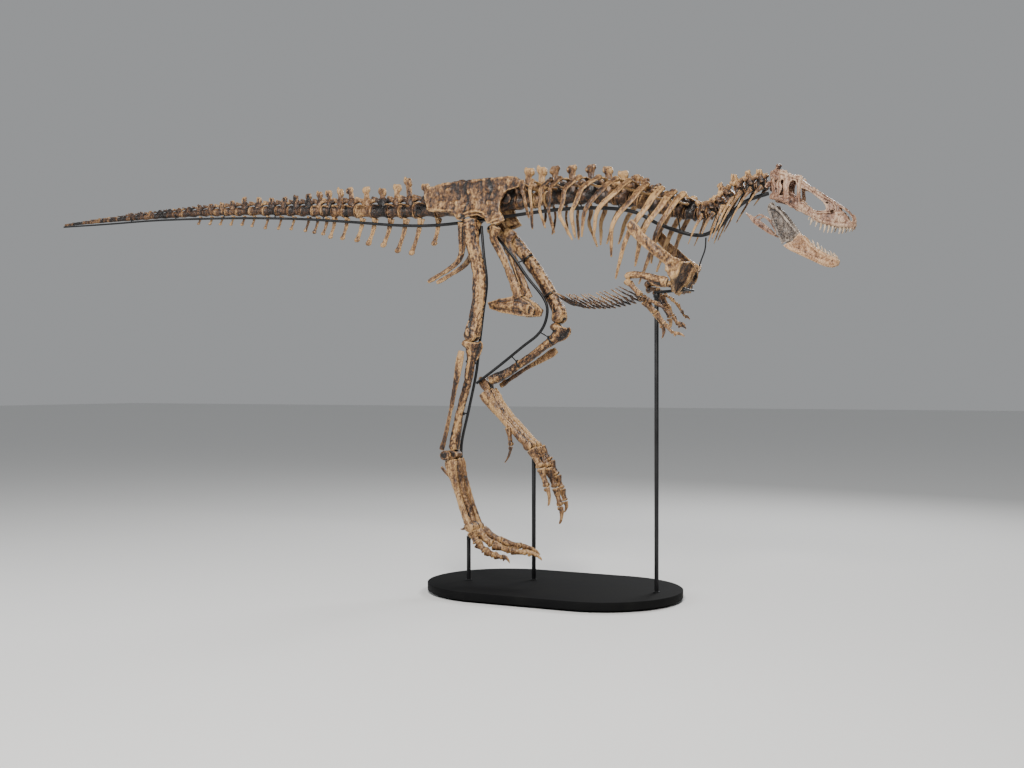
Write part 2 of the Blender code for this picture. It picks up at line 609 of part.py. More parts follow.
def rib(head_x, shoulder, bend, tip, drop, reach, side):
    """One rib of the trunk: out from the column, down, and back in at its tip."""
    z = column_z(head_x) + 0.105
    path = smooth_path([
        (head_x + 0.006, side * 0.010, z - 0.052),
        (head_x, side * 0.105, z + 0.004),
        (head_x - shoulder, side * (0.105 + 0.72 * (reach - 0.105)), z - 0.20 * drop),
        (head_x - bend, side * reach, z - 0.58 * drop),
        (head_x - tip, side * (reach - 0.035), z - drop),
    ], 5)
    return shaft(path, ((0, 0.030, 0.026), (0.25, 0.030, 0.018), (0.7, 0.026, 0.013),
                        (1, 0.018, 0.010)), 4, (1, 0, 0))


def build_rib_cage():
    """The two sides of the trunk: half of each vertebra with its rib."""
    joints = [SACRUM_X[1] + GAP]
    joints += [(a + b) / 2 for a, b in zip(BACK_X, BACK_X[1:])]
    joints.append(NECK_X[0] - GAP)
    for side, name in ((-1, "rib_cage_right"), (1, "rib_cage_left")):
        pieces = [column_body(joints, waist=1)]
        pieces += [spine_plate(x, 0.056, 0.026) for x in BACK_X]
        pieces += [rib(*row, side) for row in RIBS]
        other_half = loft([[(x, y * -side, z) for x, z in ((-1, 2), (2, 2), (2, 3.5), (-1, 3.5))]
                           for y in (-GAP / 2, 0.5)])
        node(name, pieces, bone_look(), [other_half])


def build_sacrum():
    """The five fused vertebrae between the hip blades."""
    joints = list(np.linspace(SACRUM_X[0] + GAP, SACRUM_X[1] - GAP, 6))
    middle = (SACRUM_X[0] + SACRUM_X[1]) / 2
    pieces = [column_body(joints, waist=0.82),
              spine_plate(middle, 0.54, 0.018, foot_share=1.0, flare=0.9, rise=0.135)]
    for x in (middle - 0.20, middle, middle + 0.20):
        pieces.append(wedge((x, -SACRAL_REACH, column_z(x) + 0.03),
                            (x, SACRAL_REACH, column_z(x) + 0.03),
                            (0.09, 0.06), (0.09, 0.06), (1, 0, 0)))
    node("sacrum", pieces, bone_look())


# ---------------------------------------------------------------- pelvis
def build_pelvis():
    """Hip blades, pubes with their boots, and ischia, right and left."""
    for side, name in ((-1, "right"), (1, "left")):
        def blade_y(x, z, side=side):
            return side * (0.098 + 0.16 * max(0.0, 2.62 - z) + 0.03 * max(0.0, 2.75 - z))

        node("ilium_" + name, [plate(ILIUM_OUTLINE, blade_y, 0.034, 0.010)], bone_look())

        def boot_y(x, z, side=side):
            return side * 0.068

        stem = smooth_path(mirrored(PUBIS_PATH, side), 7)
        pubis = shaft(stem, ((0, 0.030, 0.085), (0.2, 0.024, 0.052), (0.5, 0.022, 0.040),
                             (1, 0.024, 0.046)))
        boot = plate(BOOT_OUTLINE, boot_y, 0.046, 0.010)
        node("pubis_" + name, [pubis, boot], bone_look())

        stem = smooth_path(mirrored(ISCHIUM_PATH, side), 8)
        ischium = shaft(stem, ((0, 0.026, 0.070), (0.35, 0.024, 0.046), (0.6, 0.022, 0.036),
                               (0.75, 0.018, 0.024), (1, 0.014, 0.020)), 5)
        node("ischium_" + name, [ischium], bone_look())


# ---------------------------------------------------------------- limbs
def limb(points, y_start, y_end):
    """(x, z) POINTS as a path whose y runs evenly from Y_START to Y_END."""
    last = len(points) - 1
    return [(x, y_start + (y_end - y_start) * k / last, z) for k, (x, z) in enumerate(points)]


def beaded(count, first, last, waist=0.70, tip=0.10):
    """Sizes of a row of COUNT small bones: thick at the joints and a point at the end."""
    rows = []
    for k in range(2 * count):
        size = first + (last - first) * k / (2 * count)
        size *= waist if k % 2 else 1.0
        rows.append((k / (2 * count), size, size))
    rows.append((1.0, last * tip, last * tip))
    return rows


def toe(points, count, first, last):
    """A toe of COUNT bones along POINTS, ending in its claw."""
    return shaft(smooth_path(points, 2 * count + 1), beaded(count, first, last), 4)


def finger(points, count, first, last):
    """A finger along POINTS, with a ring for each of its COUNT bones and its claw."""
    return shaft(smooth_path(points, count + 1), ((0, first, first), (0.75, last, last),
                                                  (1, 0.1 * last, 0.1 * last)), 4)


def build_leg(side, name, bones):
    """One hind leg from its BONES, (x, z) paths with the leg's own pose."""
    out = side * HIP_HALF_WIDTH
    femur_path = smooth_path(limb(bones["femur"], out + side * HIP_OFFSET, bones["knee_y"]), 10)
    femur = shaft(femur_path, ((0, 0.070, 0.085), (0.1, 0.080, 0.100), (0.2, 0.064, 0.086),
                               (0.35, 0.052, 0.064), (0.7, 0.054, 0.066), (0.85, 0.074, 0.076),
                               (0.95, 0.108, 0.096), (1, 0.090, 0.078)), 7)
    head = shaft(((bones["femur"][0][0], out + side * HIP_OFFSET, bones["femur"][0][1] - 0.045),
                  (bones["femur"][0][0], out - side * 0.045, bones["femur"][0][1] - 0.035)),
                 ((0, 0.070, 0.070), (1, 0.075, 0.075)), 6, (1, 0, 0))
    node("femur_" + name, [femur, head], bone_look())

    tibia_path = smooth_path(limb(bones["tibia"], bones["knee_y"], bones["foot_y"]), 8)
    node("tibia_" + name, [shaft(tibia_path, ((0, 0.086, 0.140), (0.1, 0.080, 0.145),
                                              (0.3, 0.050, 0.080), (0.7, 0.046, 0.058),
                                              (0.9, 0.072, 0.082), (1, 0.095, 0.105)), 7)],
         bone_look())
    shift = side * 0.060
    fibula_path = smooth_path(limb(bones["fibula"], bones["knee_y"] + shift,
                                   bones["foot_y"] + shift * 1.05), 6)
    node("fibula_" + name, [shaft(fibula_path, ((0, 0.018, 0.046), (0.25, 0.016, 0.030),
                                                (0.8, 0.014, 0.022), (1, 0.020, 0.034)), 5)],
         bone_look())

    ankle_x, ankle_z = bones["ankle"]
    ankle = shaft([(ankle_x, bones["foot_y"] + side * reach, ankle_z)
                   for reach in (-0.034, 0.020, 0.074)],
                  ((0, 0.118, 0.062), (0.5, 0.105, 0.054), (1, 0.118, 0.062)), 8,
                  bones["ankle_axis"])
    node("ankle_" + name, [ankle], bone_look())

    long_bones = []
    for k, offset in enumerate((-0.040, 0.0, 0.040)):
        path = smooth_path(limb(bones["metatarsus"], bones["foot_y"] + 0.8 * offset,
                                bones["foot_y"] + 1.15 * offset), 5)
        long_bones.append(shaft(path, ((0, 0.044, 0.112), (0.2, 0.036, 0.070), (0.5, 0.030, 0.052),
                                       (0.85, 0.034, 0.056), (1, 0.040, 0.064)), 5))
    splint = bones.get("splint")
    if splint:
        y = bones["foot_y"] + side * 0.048
        long_bones.append(shaft(limb(splint, y, y - side * 0.014),
                                ((0, 0.012, 0.018), (1, 0.010, 0.016)), 4))
    node("metatarsus_" + name, long_bones, bone_look())

    for label, points, count, spread in bones["toes"]:
        root = bones["foot_y"] + side * spread
        path = limb(points, root, root + side * spread * bones["toe_spread"])
        size = 0.048 if count > 2 else 0.030
        node(f"toe_{label}_{name}", [toe(path, count, size, size * 0.62)], bone_look())


def build_arm(side, name, elbow_shift, hand_shift, hand_reach):
    """Shoulder blade, upper arm, forearm and hand. Shifts are (x, z) from the mirrored pose."""
    set_back = GIRDLE_SET_BACK * elbow_shift[0]

    def blade_y(x, z, side=side):
        return side * interpolate(((0.60, 0.285), (0.80, 0.272), (0.90, 0.230), (0.95, 0.205)),
                                  x - set_back)

    blade = plate([(x + set_back, z) for x, z in SCAPULA_OUTLINE], blade_y, 0.022, 0.006)
    outline = [(x + set_back, y, z) for x, y, z in mirrored(CORACOID_OUTLINE, side)]
    node("scapula_" + name, [blade, sheet(outline, 0.020)], bone_look())

    def moved(points, first, last):
        """POINTS on this side, shifted by FIRST at the start and LAST at the end."""
        shifts = np.linspace(first, last, len(points))
        return [(x + dx, y * side, z + dz) for (x, y, z), (dx, dz) in zip(points, shifts)]

    upper = smooth_path(moved(HUMERUS_PATH, (set_back, 0.0), elbow_shift), 7)
    node("humerus_" + name, [shaft(upper, ((0, 0.040, 0.060), (0.3, 0.030, 0.052),
                                           (0.5, 0.028, 0.036), (0.85, 0.036, 0.036),
                                           (1, 0.048, 0.048)))], bone_look())
    lower = moved(FOREARM_PATH, elbow_shift, hand_shift)
    for bone, offset, size in (("radius", -0.016, 0.019), ("ulna", 0.016, 0.023)):
        path = [(x, y + side * offset, z) for x, y, z in lower]
        node(f"{bone}_{name}", [shaft(smooth_path(path, 4), ((0, size * 1.5, size * 1.7),
                                                             (0.4, size, size),
                                                             (1, size * 1.2, size * 1.3)), 5)],
             bone_look())
    wrist_x = WRIST_PATH[0][0]
    palm = [shaft(moved(WRIST_PATH, hand_shift, hand_shift), ((0, 0.060, 0.034),
                                                              (1, 0.066, 0.034)), 6)]
    for points, count, size in FINGERS:
        folded = [(wrist_x + (x - wrist_x) * hand_reach, y, z) for x, y, z in points]
        palm.append(finger(moved(folded, hand_shift, hand_shift), count, size, size * 0.78))
    node("hand_" + name, palm, bone_look())


def build_wishbone():
    """The furcula: a shallow V between the shoulder bones."""
    path = smooth_path([(0.962, -0.118, 2.150), (0.985, -0.060, 2.105), (0.985, 0, 2.078),
                        (0.985, 0.060, 2.105), (0.962, 0.118, 2.150)], 7)
    node("furcula", [shaft(path, ((0, 0.010, 0.012), (0.5, 0.013, 0.016), (1, 0.010, 0.012)), 4,
                           (1, 0, 0))], bone_look())


def build_gastralia():
    """The belly ribs: shallow V rods that cross on a thin keel, front rows longest."""
    keel = shaft(smooth_path(KEEL_PATH, 4), ((0, 0.014, 0.012), (1, 0.014, 0.012)), 4)
    pieces = [keel]
    for k in range(BELLY_ROWS):
        share = k / (BELLY_ROWS - 1)
        x = 0.190 + 0.45 * share
        z = interpolate([(p[0], p[2]) for p in KEEL_PATH], x)
        for side in (1, -1):
            path = [(x + 0.004, -side * 0.003, z),
                    (x - 0.105, side * 0.150, z + 0.100 - 0.012 * share)]
            pieces.append(shaft(path, ((0, 0.015, 0.015), (1, 0.008, 0.008)), 3, (0, 0, 1)))
    node("gastralia", pieces, bone_look())


# ---------------------------------------------------------------- head
def skull_half_width(x, z):
    """Half width of the skull: broad behind, narrow at the snout and along the roof."""
    share = (x - SKULL_BACK_X) / (SKULL_TIP_X - SKULL_BACK_X)
    wide = interpolate(((0.0, 0.070), (0.15, 0.088), (0.4, 0.080), (0.7, 0.055), (0.95, 0.036),
                        (1.0, 0.020)), share)
    low, high = skull_heights(x)
    height = (z - low) / max(high - low, 1e-6)
    return wide * (1.0 - 0.42 * height ** 2)


def skull_heights(x):
    """Lower and upper edge of the skull's side view at X."""
    return interpolate(SKULL_LOWER, x), interpolate(SKULL_UPPER, x)


def opening(outline, depth=0.25):
    """A cutter that runs through the head from side to side."""
    return loft([[(x, y, z) for x, z in outline] for y in (-depth, depth)])


def tooth(x, y, z, length, upward, lean=0.012):
    """One curved tooth as a thin three-sided point."""
    root = Vector((x, y, z - 0.008 * upward))
    tip = Vector((x - lean, y, z + length * upward))
    return shaft((root, tip), ((0, 0.012, 0.020), (1, 0.004, 0.005)), 3)


def build_skull():
    """Skull with the openings that pass right through it, and its upper teeth."""
    rings = []
    for x in SKULL_SECTIONS:
        low, high = skull_heights(x)
        ring_points = []
        for share in (0.0, 0.25, 0.6, 0.9, 1.0):
            z = low + (high - low) * share
            width = skull_half_width(x, z) * (0.80 if share == 0.0 else 1.0)
            ring_points.append((x, width * (0.55 if share == 1.0 else 1.0), z))
        rings.append(ring_points + [(x, -y, z) for x, y, z in reversed(ring_points)])
    pieces = [loft(rings)]
    crest = shaft(((1.470, 0, 2.66), (1.500, 0, 2.712)), ((0, 0.10, 0.06), (1, 0.07, 0.035)), 6)
    joint = [shaft(((1.470, side * 0.066, 2.50), (1.462, side * 0.066, 2.475)),
                   ((0, 0.04, 0.05), (1, 0.03, 0.03)), 5) for side in (1, -1)]
    pieces += [crest] + joint
    for k in range(UPPER_TEETH):
        share = k / (UPPER_TEETH - 1)
        x = 1.690 + 0.195 * share
        length = 0.032 + 0.020 * math.sin(math.pi * share) * (0.75 + 0.25 * (k % 2))
        low, _ = skull_heights(x)
        for side in (1, -1):
            y = side * (skull_half_width(x, low) * 0.80 - 0.007)
            pieces.append(tooth(x, y, low, length, -1))
    cutters = [opening(ORBIT), opening(TEMPORAL_OPENING), opening(ANTORBITAL_OPENING),
               opening(NARIS)]
    node("skull", pieces, skull_look(), cutters)


def build_jaw():
    """Right and left lower jaw, gaping, with their teeth."""
    for side, name in ((-1, "right"), (1, "left")):
        def ramus_y(x, z, side=side):
            return side * interpolate(((1.44, 0.080), (1.58, 0.072), (1.76, 0.042), (1.86, 0.016)), x)

        pieces = [plate(JAW_OUTLINE, ramus_y, 0.022, 0.007)]
        for k in range(LOWER_TEETH):
            share = k / (LOWER_TEETH - 1)
            x = 1.702 + 0.125 * share
            z = interpolate(JAW_UPPER_EDGE, x)
            length = 0.024 + 0.012 * math.sin(math.pi * share)
            pieces.append(tooth(x, ramus_y(x, z), z - 0.002, length, 1, 0.004))
        node("jaw_" + name, pieces, skull_look())
        path = smooth_path(mirrored(HYOID_PATH, side), 5)
        node("hyoid_" + name, [shaft(path, ((0, 0.010, 0.020), (0.5, 0.012, 0.044),
                                            (0.8, 0.011, 0.036), (1, 0.008, 0.012)), 5)],
             bone_look())


# ---------------------------------------------------------------- the whole model
def main():
    for body in list(bpy.data.objects):
        bpy.data.objects.remove(body)
    build_base()
    build_rod("stand_rod_rear", *REAR_ROD)
    build_rod("stand_rod_middle", *MIDDLE_ROD)
    build_rod("stand_rod_front", *FRONT_ROD)
    build_bracket()
    build_pipes()
    build_tail()
    build_sacrum()
    build_rib_cage()
    build_neck()
    build_pelvis()
    build_leg(-1, "right", RIGHT_LEG)
    build_leg(1, "left", LEFT_LEG)
    build_arm(-1, "right", (0.0, 0.0), (0.0, 0.0), 1.0)
    build_arm(1, "left", (-0.045, -0.015), (-0.045, 0.065), 0.70)
    build_wishbone()
    build_gastralia()
    build_skull()
    build_jaw()


main()
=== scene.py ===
# %% [markdown]
# # A young allosaur on its museum stand
#
# The mount is about 6.3 m long and 2.8 m high. The animal runs to the right: its right leg has
# pushed off and the left one swings forward. +X runs to the head, +Y to the animal's left.
# Every bone is a piece of its own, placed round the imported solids, which are then hidden.

import math

import bpy
import numpy as np
from mathutils import Matrix, Vector


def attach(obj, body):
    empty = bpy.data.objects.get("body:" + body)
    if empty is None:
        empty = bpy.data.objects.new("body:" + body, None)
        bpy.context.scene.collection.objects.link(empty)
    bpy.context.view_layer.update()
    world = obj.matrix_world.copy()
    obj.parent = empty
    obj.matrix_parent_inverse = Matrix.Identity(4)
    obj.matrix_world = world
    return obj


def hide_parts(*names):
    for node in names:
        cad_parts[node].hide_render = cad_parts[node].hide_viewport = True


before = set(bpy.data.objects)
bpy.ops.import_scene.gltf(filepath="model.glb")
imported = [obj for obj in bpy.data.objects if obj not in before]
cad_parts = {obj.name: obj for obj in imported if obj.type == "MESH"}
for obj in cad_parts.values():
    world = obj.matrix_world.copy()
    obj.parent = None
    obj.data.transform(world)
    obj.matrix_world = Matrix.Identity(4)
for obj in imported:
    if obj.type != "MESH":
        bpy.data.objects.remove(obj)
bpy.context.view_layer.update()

# %% [markdown]
# ## Camera
#
# The camera stands level at 1.38 m, to the right of the animal and a little ahead of it, with a
# 43 mm lens. A level camera keeps the rods upright.

# %% Camera
camera_data = bpy.data.cameras.new("camera")
camera_data.sensor_width = 36.0
camera_data.lens = 42.71
camera = bpy.data.objects.new("camera", camera_data)
bpy.context.scene.collection.objects.link(camera)
camera.location = (3.250, -7.299, 1.380)
camera.rotation_euler = (math.radians(90), 0, math.radians(25.93))
bpy.context.scene.camera = camera

# %% [markdown]
# ## Studio
#
# A pale floor in a pale room without corners, one large soft light ahead and above, one weaker
# from the other side, and an even pale world, so that the undersides of the bones stay readable.

# %% Floor
def deselect_all():
    if bpy.context.mode != "OBJECT":
        bpy.ops.object.mode_set(mode="OBJECT")
    bpy.ops.object.select_all(action="DESELECT")


def plain_material(name, colour, roughness):
    made = bpy.data.materials.new(name)
    made.use_nodes = True
    shader = made.node_tree.nodes["Principled BSDF"]
    shader.inputs["Base Color"].default_value = (*colour, 1)
    shader.inputs["Roughness"].default_value = roughness
    return made


deselect_all()
bpy.ops.mesh.primitive_plane_add(size=1, location=(0, 0, 0))
floor = bpy.context.object
floor.name = "studio_floor"
floor.scale = (120, 120, 1)
bpy.ops.object.transform_apply(location=False, rotation=False, scale=True)
floor.data.materials.append(plain_material("studio_pale", (0.80, 0.80, 0.79), 0.9))

# %% Lights
def soft_light(name, place, target, size, power, colour):
    data = bpy.data.lights.new(name, "AREA")
    data.shape = "DISK"
    data.size = size
    data.energy = power
    data.color = colour
    lamp = bpy.data.objects.new(name, data)
    bpy.context.scene.collection.objects.link(lamp)
    lamp.location = place
    lamp.rotation_euler = (Vector(target) - Vector(place)).to_track_quat("-Z", "Y").to_euler()
    return lamp


soft_light("key", (2.0, -6.5, 6.5), (-0.6, 0, 2.0), 3.0, 860, (1.0, 0.97, 0.93))
soft_light("fill", (-5.5, -5.0, 4.0), (-1.0, 0, 2.0), 4.0, 150, (0.95, 0.97, 1.0))
soft_light("rim", (1.0, 5.5, 5.5), (-0.5, 0, 2.2), 3.0, 300, (1.0, 1.0, 1.0))
world = bpy.data.worlds.new("studio_world")
world.use_nodes = True
world.node_tree.nodes["Background"].inputs["Color"].default_value = (0.86, 0.88, 0.90, 1)
world.node_tree.nodes["Background"].inputs["Strength"].default_value = 0.38
bpy.context.scene.world = world
print("studio ready")

# %% [markdown]
# ## Shaping tools
#
# A bone is mostly a tube whose section changes along a line. By hand it is made by adding a
# circle for each section, bridging the circles and closing the ends. Where a bone has knobs and
# wings, several such tubes are joined, remeshed to one skin and smoothed, as a sculptor works
# clay over a rough core. The remesh melts the seams away, which no boolean does.

# %% [markdown]
# Places and sizes are typed as text in millimetres, which reads like a maker's cutting list and
# stays short. Rows are parted by commas.

# %% Lists in millimetres
SIDES = ((-1, "right"), (1, "left"))


def mm(text):
    """The rows of a list typed in millimetres, as tuples in metres."""
    return [tuple(float(number) / 1000 for number in row.split()) for row in text.split(",")]


def sections(text):
    """Sections of a tube typed as text: place in percent of its length, width and height in mm."""
    rows = (row.split() for row in text.split(","))
    return [(float(share) / 100, float(width) / 1000, float(height) / 1000)
            for share, width, height in rows]


def across(y):
    """A step of Y straight across the animal."""
    return Vector((0, y, 0))


def crosswise(along):
    """The direction square to ALONG in the side view: up where ALONG runs to the head."""
    return Vector((-along.z, 0, along.x))


# %% Paths and sizes
def smooth_path(points, count):
    """COUNT points on a smooth curve through POINTS."""
    pts = [Vector(p) for p in points]
    if len(pts) == 2:
        return [pts[0].lerp(pts[1], k / (count - 1)) for k in range(count)]
    pts = [2 * pts[0] - pts[1]] + pts + [2 * pts[-1] - pts[-2]]
    spans = len(pts) - 3
    path = []
    for i in range(count):
        t = i * spans / (count - 1)
        k = min(int(t), spans - 1)
        t -= k
        a, b, c, d = pts[k:k + 4]
        path.append(0.5 * (2 * b + (c - a) * t + (2 * a - 5 * b + 4 * c - d) * t * t
                           + (3 * b - a - 3 * c + d) * t ** 3))
    return path


def table(rows, value):
    """Value of a short (position, size) table, straight between its rows."""
    spots, sizes = zip(*rows)
    return float(np.interp(value, spots, sizes))


def run_along(line):
    """Distance from the start of LINE to each of its points."""
    return np.concatenate(([0], np.cumsum([(b - a).length for a, b in zip(line, line[1:])])))


def cross_frame(along, side):
    """Axes of a section across ALONG: its width lies along SIDE."""
    along = Vector(along).normalized()
    side = Vector(side)
    side = side - along * side.dot(along)
    if side.length < 1e-5:
        side = Vector((0, 0, 1)) - along * along.z
    side.normalize()
    return Matrix((side, along.cross(side), along)).transposed()


# %% A tube of changing section
def select_only(*bodies):
    """Selects BODIES alone and makes the first one active."""
    deselect_all()
    for body in bodies:
        body.select_set(True)
    bpy.context.view_layer.objects.active = bodies[0]


def new_mesh(name):
    body = bpy.data.objects.new(name, bpy.data.meshes.new(name))
    bpy.context.scene.collection.objects.link(body)
    select_only(body)
    return body


def sweep(path, sizes, side=(0, 1, 0), sides=8, count=None):
    """A closed tube along PATH. SIZES rows are (place 0 to 1, width along SIDE, height).
    Both may be typed as text."""
    path = mm(path) if isinstance(path, str) else path
    sizes = sections(sizes) if isinstance(sizes, str) else sizes
    count = count or max(len(path), 3)
    path = smooth_path(path, count) if len(path) != count else [Vector(p) for p in path]
    body = new_mesh("tube")
    spots, widths, heights = zip(*sizes)
    bpy.ops.object.mode_set(mode="EDIT")
    for k, place in enumerate(path):
        along = path[min(k + 1, count - 1)] - path[max(k - 1, 0)]
        share = k / (count - 1)
        width, height = (float(np.interp(share, spots, rows)) for rows in (widths, heights))
        axes = cross_frame(along, side)
        bpy.ops.mesh.primitive_circle_add(vertices=sides, radius=width / 2, location=place,
                                          rotation=axes.to_euler())
        bpy.ops.transform.resize(value=(1, height / width, 1), orient_type="GLOBAL",
                                 orient_matrix=axes, orient_matrix_type="GLOBAL",
                                 center_override=place)
    bpy.ops.mesh.select_all(action="SELECT")
    bpy.ops.mesh.bridge_edge_loops()
    bpy.ops.mesh.select_all(action="SELECT")
    bpy.ops.mesh.fill_holes(sides=0)
    bpy.ops.mesh.select_all(action="SELECT")
    bpy.ops.mesh.normals_make_consistent(inside=False)
    bpy.ops.object.mode_set(mode="OBJECT")
    return body

# %% Knobs, flat blades and one skin
def knob(place, radii):
    """An egg with RADII along x, y and z, for heads and condyles."""
    deselect_all()
    bpy.ops.mesh.primitive_ico_sphere_add(subdivisions=2, radius=1, location=place, scale=radii)
    bpy.ops.object.transform_apply(location=True, rotation=True, scale=True)
    return bpy.context.object


def knobs(text):
    """Knobs typed as text: the place of each, then its radii."""
    return [knob(row[:3], row[3:]) for row in mm(text)]


def blade(outline, thickness, y=0.0):
    """A flat plate standing in the side view: OUTLINE is (x, z) points."""
    body = new_mesh("blade")
    bpy.ops.object.mode_set(mode="EDIT")
    bpy.ops.mesh.primitive_circle_add(vertices=len(outline), radius=1, fill_type="NGON")
    bpy.ops.object.mode_set(mode="OBJECT")
    for point, (x, z) in zip(body.data.vertices, outline):
        point.co = (x, y - thickness / 2, z)
    bpy.ops.object.mode_set(mode="EDIT")
    bpy.ops.mesh.select_all(action="SELECT")
    bpy.ops.mesh.extrude_region_move(TRANSFORM_OT_translate={"value": (0, thickness, 0)})
    bpy.ops.mesh.select_all(action="SELECT")
    bpy.ops.mesh.normals_make_consistent(inside=False)
    bpy.ops.object.mode_set(mode="OBJECT")
    return body


def apply_all(body):
    select_only(body)
    for modifier in list(body.modifiers):
        bpy.ops.object.modifier_apply(modifier=modifier.name)
    return body


def joined(pieces):
    select_only(*pieces)
    if len(pieces) > 1:
        bpy.ops.object.join()
    return pieces[0]


def fuse(pieces, voxel, smoothing=4):
    """PIECES melted into one skin, with its corners rubbed off."""
    body = joined(pieces)
    skin = body.modifiers.new("skin", "REMESH")
    skin.mode = "VOXEL"
    skin.voxel_size = voxel
    rub = body.modifiers.new("rub", "SMOOTH")
    rub.iterations = smoothing
    rub.factor = 0.5
    return apply_all(body)


def rounded(body, times=2):
    """BODY with its skin subdivided TIMES over."""
    for _ in range(times):
        skin = body.modifiers.new("skin", "SUBSURF")
        skin.levels = skin.render_levels = 1
        apply_all(body)
    return body


def pitted(body, depth, grain):
    """Dents BODY as fossil bone is: broad swellings, and uneven lumps about GRAIN wide."""
    for size, strength in ((2.6 * grain, 3.2 * depth), (0.8 * grain, 2.0 * depth)):
        lumps = bpy.data.textures.new("lumps", "CLOUDS")
        lumps.noise_scale = size
        lumps.noise_depth = 2
        dent = body.modifiers.new("dent", "DISPLACE")
        dent.texture = lumps
        dent.texture_coords = "LOCAL"
        dent.strength = strength
        dent.mid_level = 0.5
    return apply_all(body)


def bent(body, move):
    """BODY with every point put where MOVE(point) says."""
    for point in body.data.vertices:
        point.co = move(point.co)
    return body


def mirror_copy(body):
    """The same piece for the animal's other side, its faces turned out again."""
    other = copy_of(body)
    for point in other.data.vertices:
        point.co.y = -point.co.y
    other.data.flip_normals()
    return other


def copy_of(body, matrix=None):
    """A copy of BODY with a mesh of its own, moved by MATRIX."""
    twin = body.copy()
    twin.data = body.data.copy()
    bpy.context.scene.collection.objects.link(twin)
    if matrix is not None:
        twin.data.transform(matrix)
    return twin


# %% [markdown]
# Bones are painted pale on their ridges and dark in their hollows: a painted highlight and painted
# shade. Each finished bone stores how far each of its points stands proud of its neighbours, and a
# tone, 0 pale to 1 dark, so that the bone material can follow both. The tone may change along a
# bone.

# %% Finishing a piece
def store(mesh, name, values):
    layer = mesh.attributes.new(name, "FLOAT", "POINT")
    layer.data.foreach_set("value", np.asarray(values, np.float32))


def mark_ridges(body, tone):
    """Stores 'proud' (0 hollow, 0.5 flat, 1 ridge) and 'tone' on the points of BODY."""
    mesh = body.data
    count = len(mesh.vertices)
    place = np.empty(count * 3)
    mesh.vertices.foreach_get("co", place)
    place = place.reshape(-1, 3)
    normal = np.empty(count * 3)
    mesh.vertices.foreach_get("normal", normal)
    normal = normal.reshape(-1, 3)
    ends = np.empty(len(mesh.edges) * 2, int)
    mesh.edges.foreach_get("vertices", ends)
    first, last = ends.reshape(-1, 2).T
    step = place[last] - place[first]
    span = np.maximum((step ** 2).sum(1), 1e-10)
    bend = np.zeros(count)
    near = np.bincount(first, minlength=count) + np.bincount(last, minlength=count)
    np.add.at(bend, first, -(step * normal[first]).sum(1) / span)
    np.add.at(bend, last, (step * normal[last]).sum(1) / span)
    near = np.maximum(near, 1)
    bend /= near
    for _ in range(2):
        around = np.zeros(count)
        np.add.at(around, first, bend[last])
        np.add.at(around, last, bend[first])
        bend = 0.4 * bend + 0.6 * around / near
    spread = bend.std() + 1e-6
    store(mesh, "proud", np.clip(0.5 + 0.22 * (bend - np.median(bend)) / spread, 0, 1))
    store(mesh, "tone", tone(place) if callable(tone) else np.full(count, tone))


def tone_of(name):
    """A number from 0 to 1 that depends on a piece's name alone."""
    return (sum((k + 3) * ord(letter) for k, letter in enumerate(name)) * 37 % 101) / 100


def streaked(path, tone, depth=0.22):
    """A tone with long dark and pale streaks that run along a bone laid on PATH."""
    spots = np.array(smooth_path(path, 40))
    axis = spots[-1] - spots[0]
    axis /= np.linalg.norm(axis)
    side = np.cross(axis, (0.0, 1.0, 0.02))
    side /= np.linalg.norm(side)
    over = np.cross(axis, side)

    def at(place):
        nearest = ((place[:, None, :] - spots[None]) ** 2).sum(2).argmin(1)
        off = place - spots[nearest]
        turn = np.arctan2(off @ over, off @ side)
        run = (place - spots[0]) @ axis
        wave = (np.sin(2 * turn + 3 * run + 1.0) + 0.7 * np.sin(3 * turn - 8 * run)
                + 0.5 * np.sin(5 * turn + 13 * run + 2.0))
        return tone + depth * wave / 1.5
    return at


made_pieces = {}


def done(body, name, look, nodes=(), tone=None):
    """Names a finished bone, gives it its look and sets it in place of CAD NODES."""
    body.name = name
    body.data.name = name
    select_only(body)
    bpy.ops.object.shade_smooth()
    mark_ridges(body, 0.40 + 0.25 * tone_of(name) if tone is None else tone)
    body.data.materials.clear()
    body.data.materials.append(looks[look])
    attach(body, "root")
    if nodes:
        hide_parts(*nodes)
    made_pieces[name] = len(body.data.polygons)
    return body

# %% [markdown]
# ## Finishes
#
# Shader maths reads best as plain expressions, so a small class wraps a socket and adds a Math
# node for each operator. Everything that isn't a Math node comes through one method, add().

# %% Shader expressions
class Value:
    """A socket that adds Math nodes when it is used in an expression."""

    def __init__(self, look, socket):
        self.look = look
        self.socket = socket

    def _math(self, operation, first, second):
        return self.look.add("ShaderNodeMath", {"operation": operation}, {0: first, 1: second})

    def __add__(self, other):
        return self._math("ADD", self, other)

    def __radd__(self, other):
        return self._math("ADD", other, self)

    def __sub__(self, other):
        return self._math("SUBTRACT", self, other)

    def __rsub__(self, other):
        return self._math("SUBTRACT", other, self)

    def __mul__(self, other):
        return self._math("MULTIPLY", self, other)

    def __rmul__(self, other):
        return self._math("MULTIPLY", other, self)

    def step(self, low, high):
        """0 below LOW, 1 above HIGH, smooth between."""
        return self.look.add("ShaderNodeMapRange", {"interpolation_type": "SMOOTHSTEP"},
                             {0: self, 1: low, 2: high, 3: 0.0, 4: 1.0})


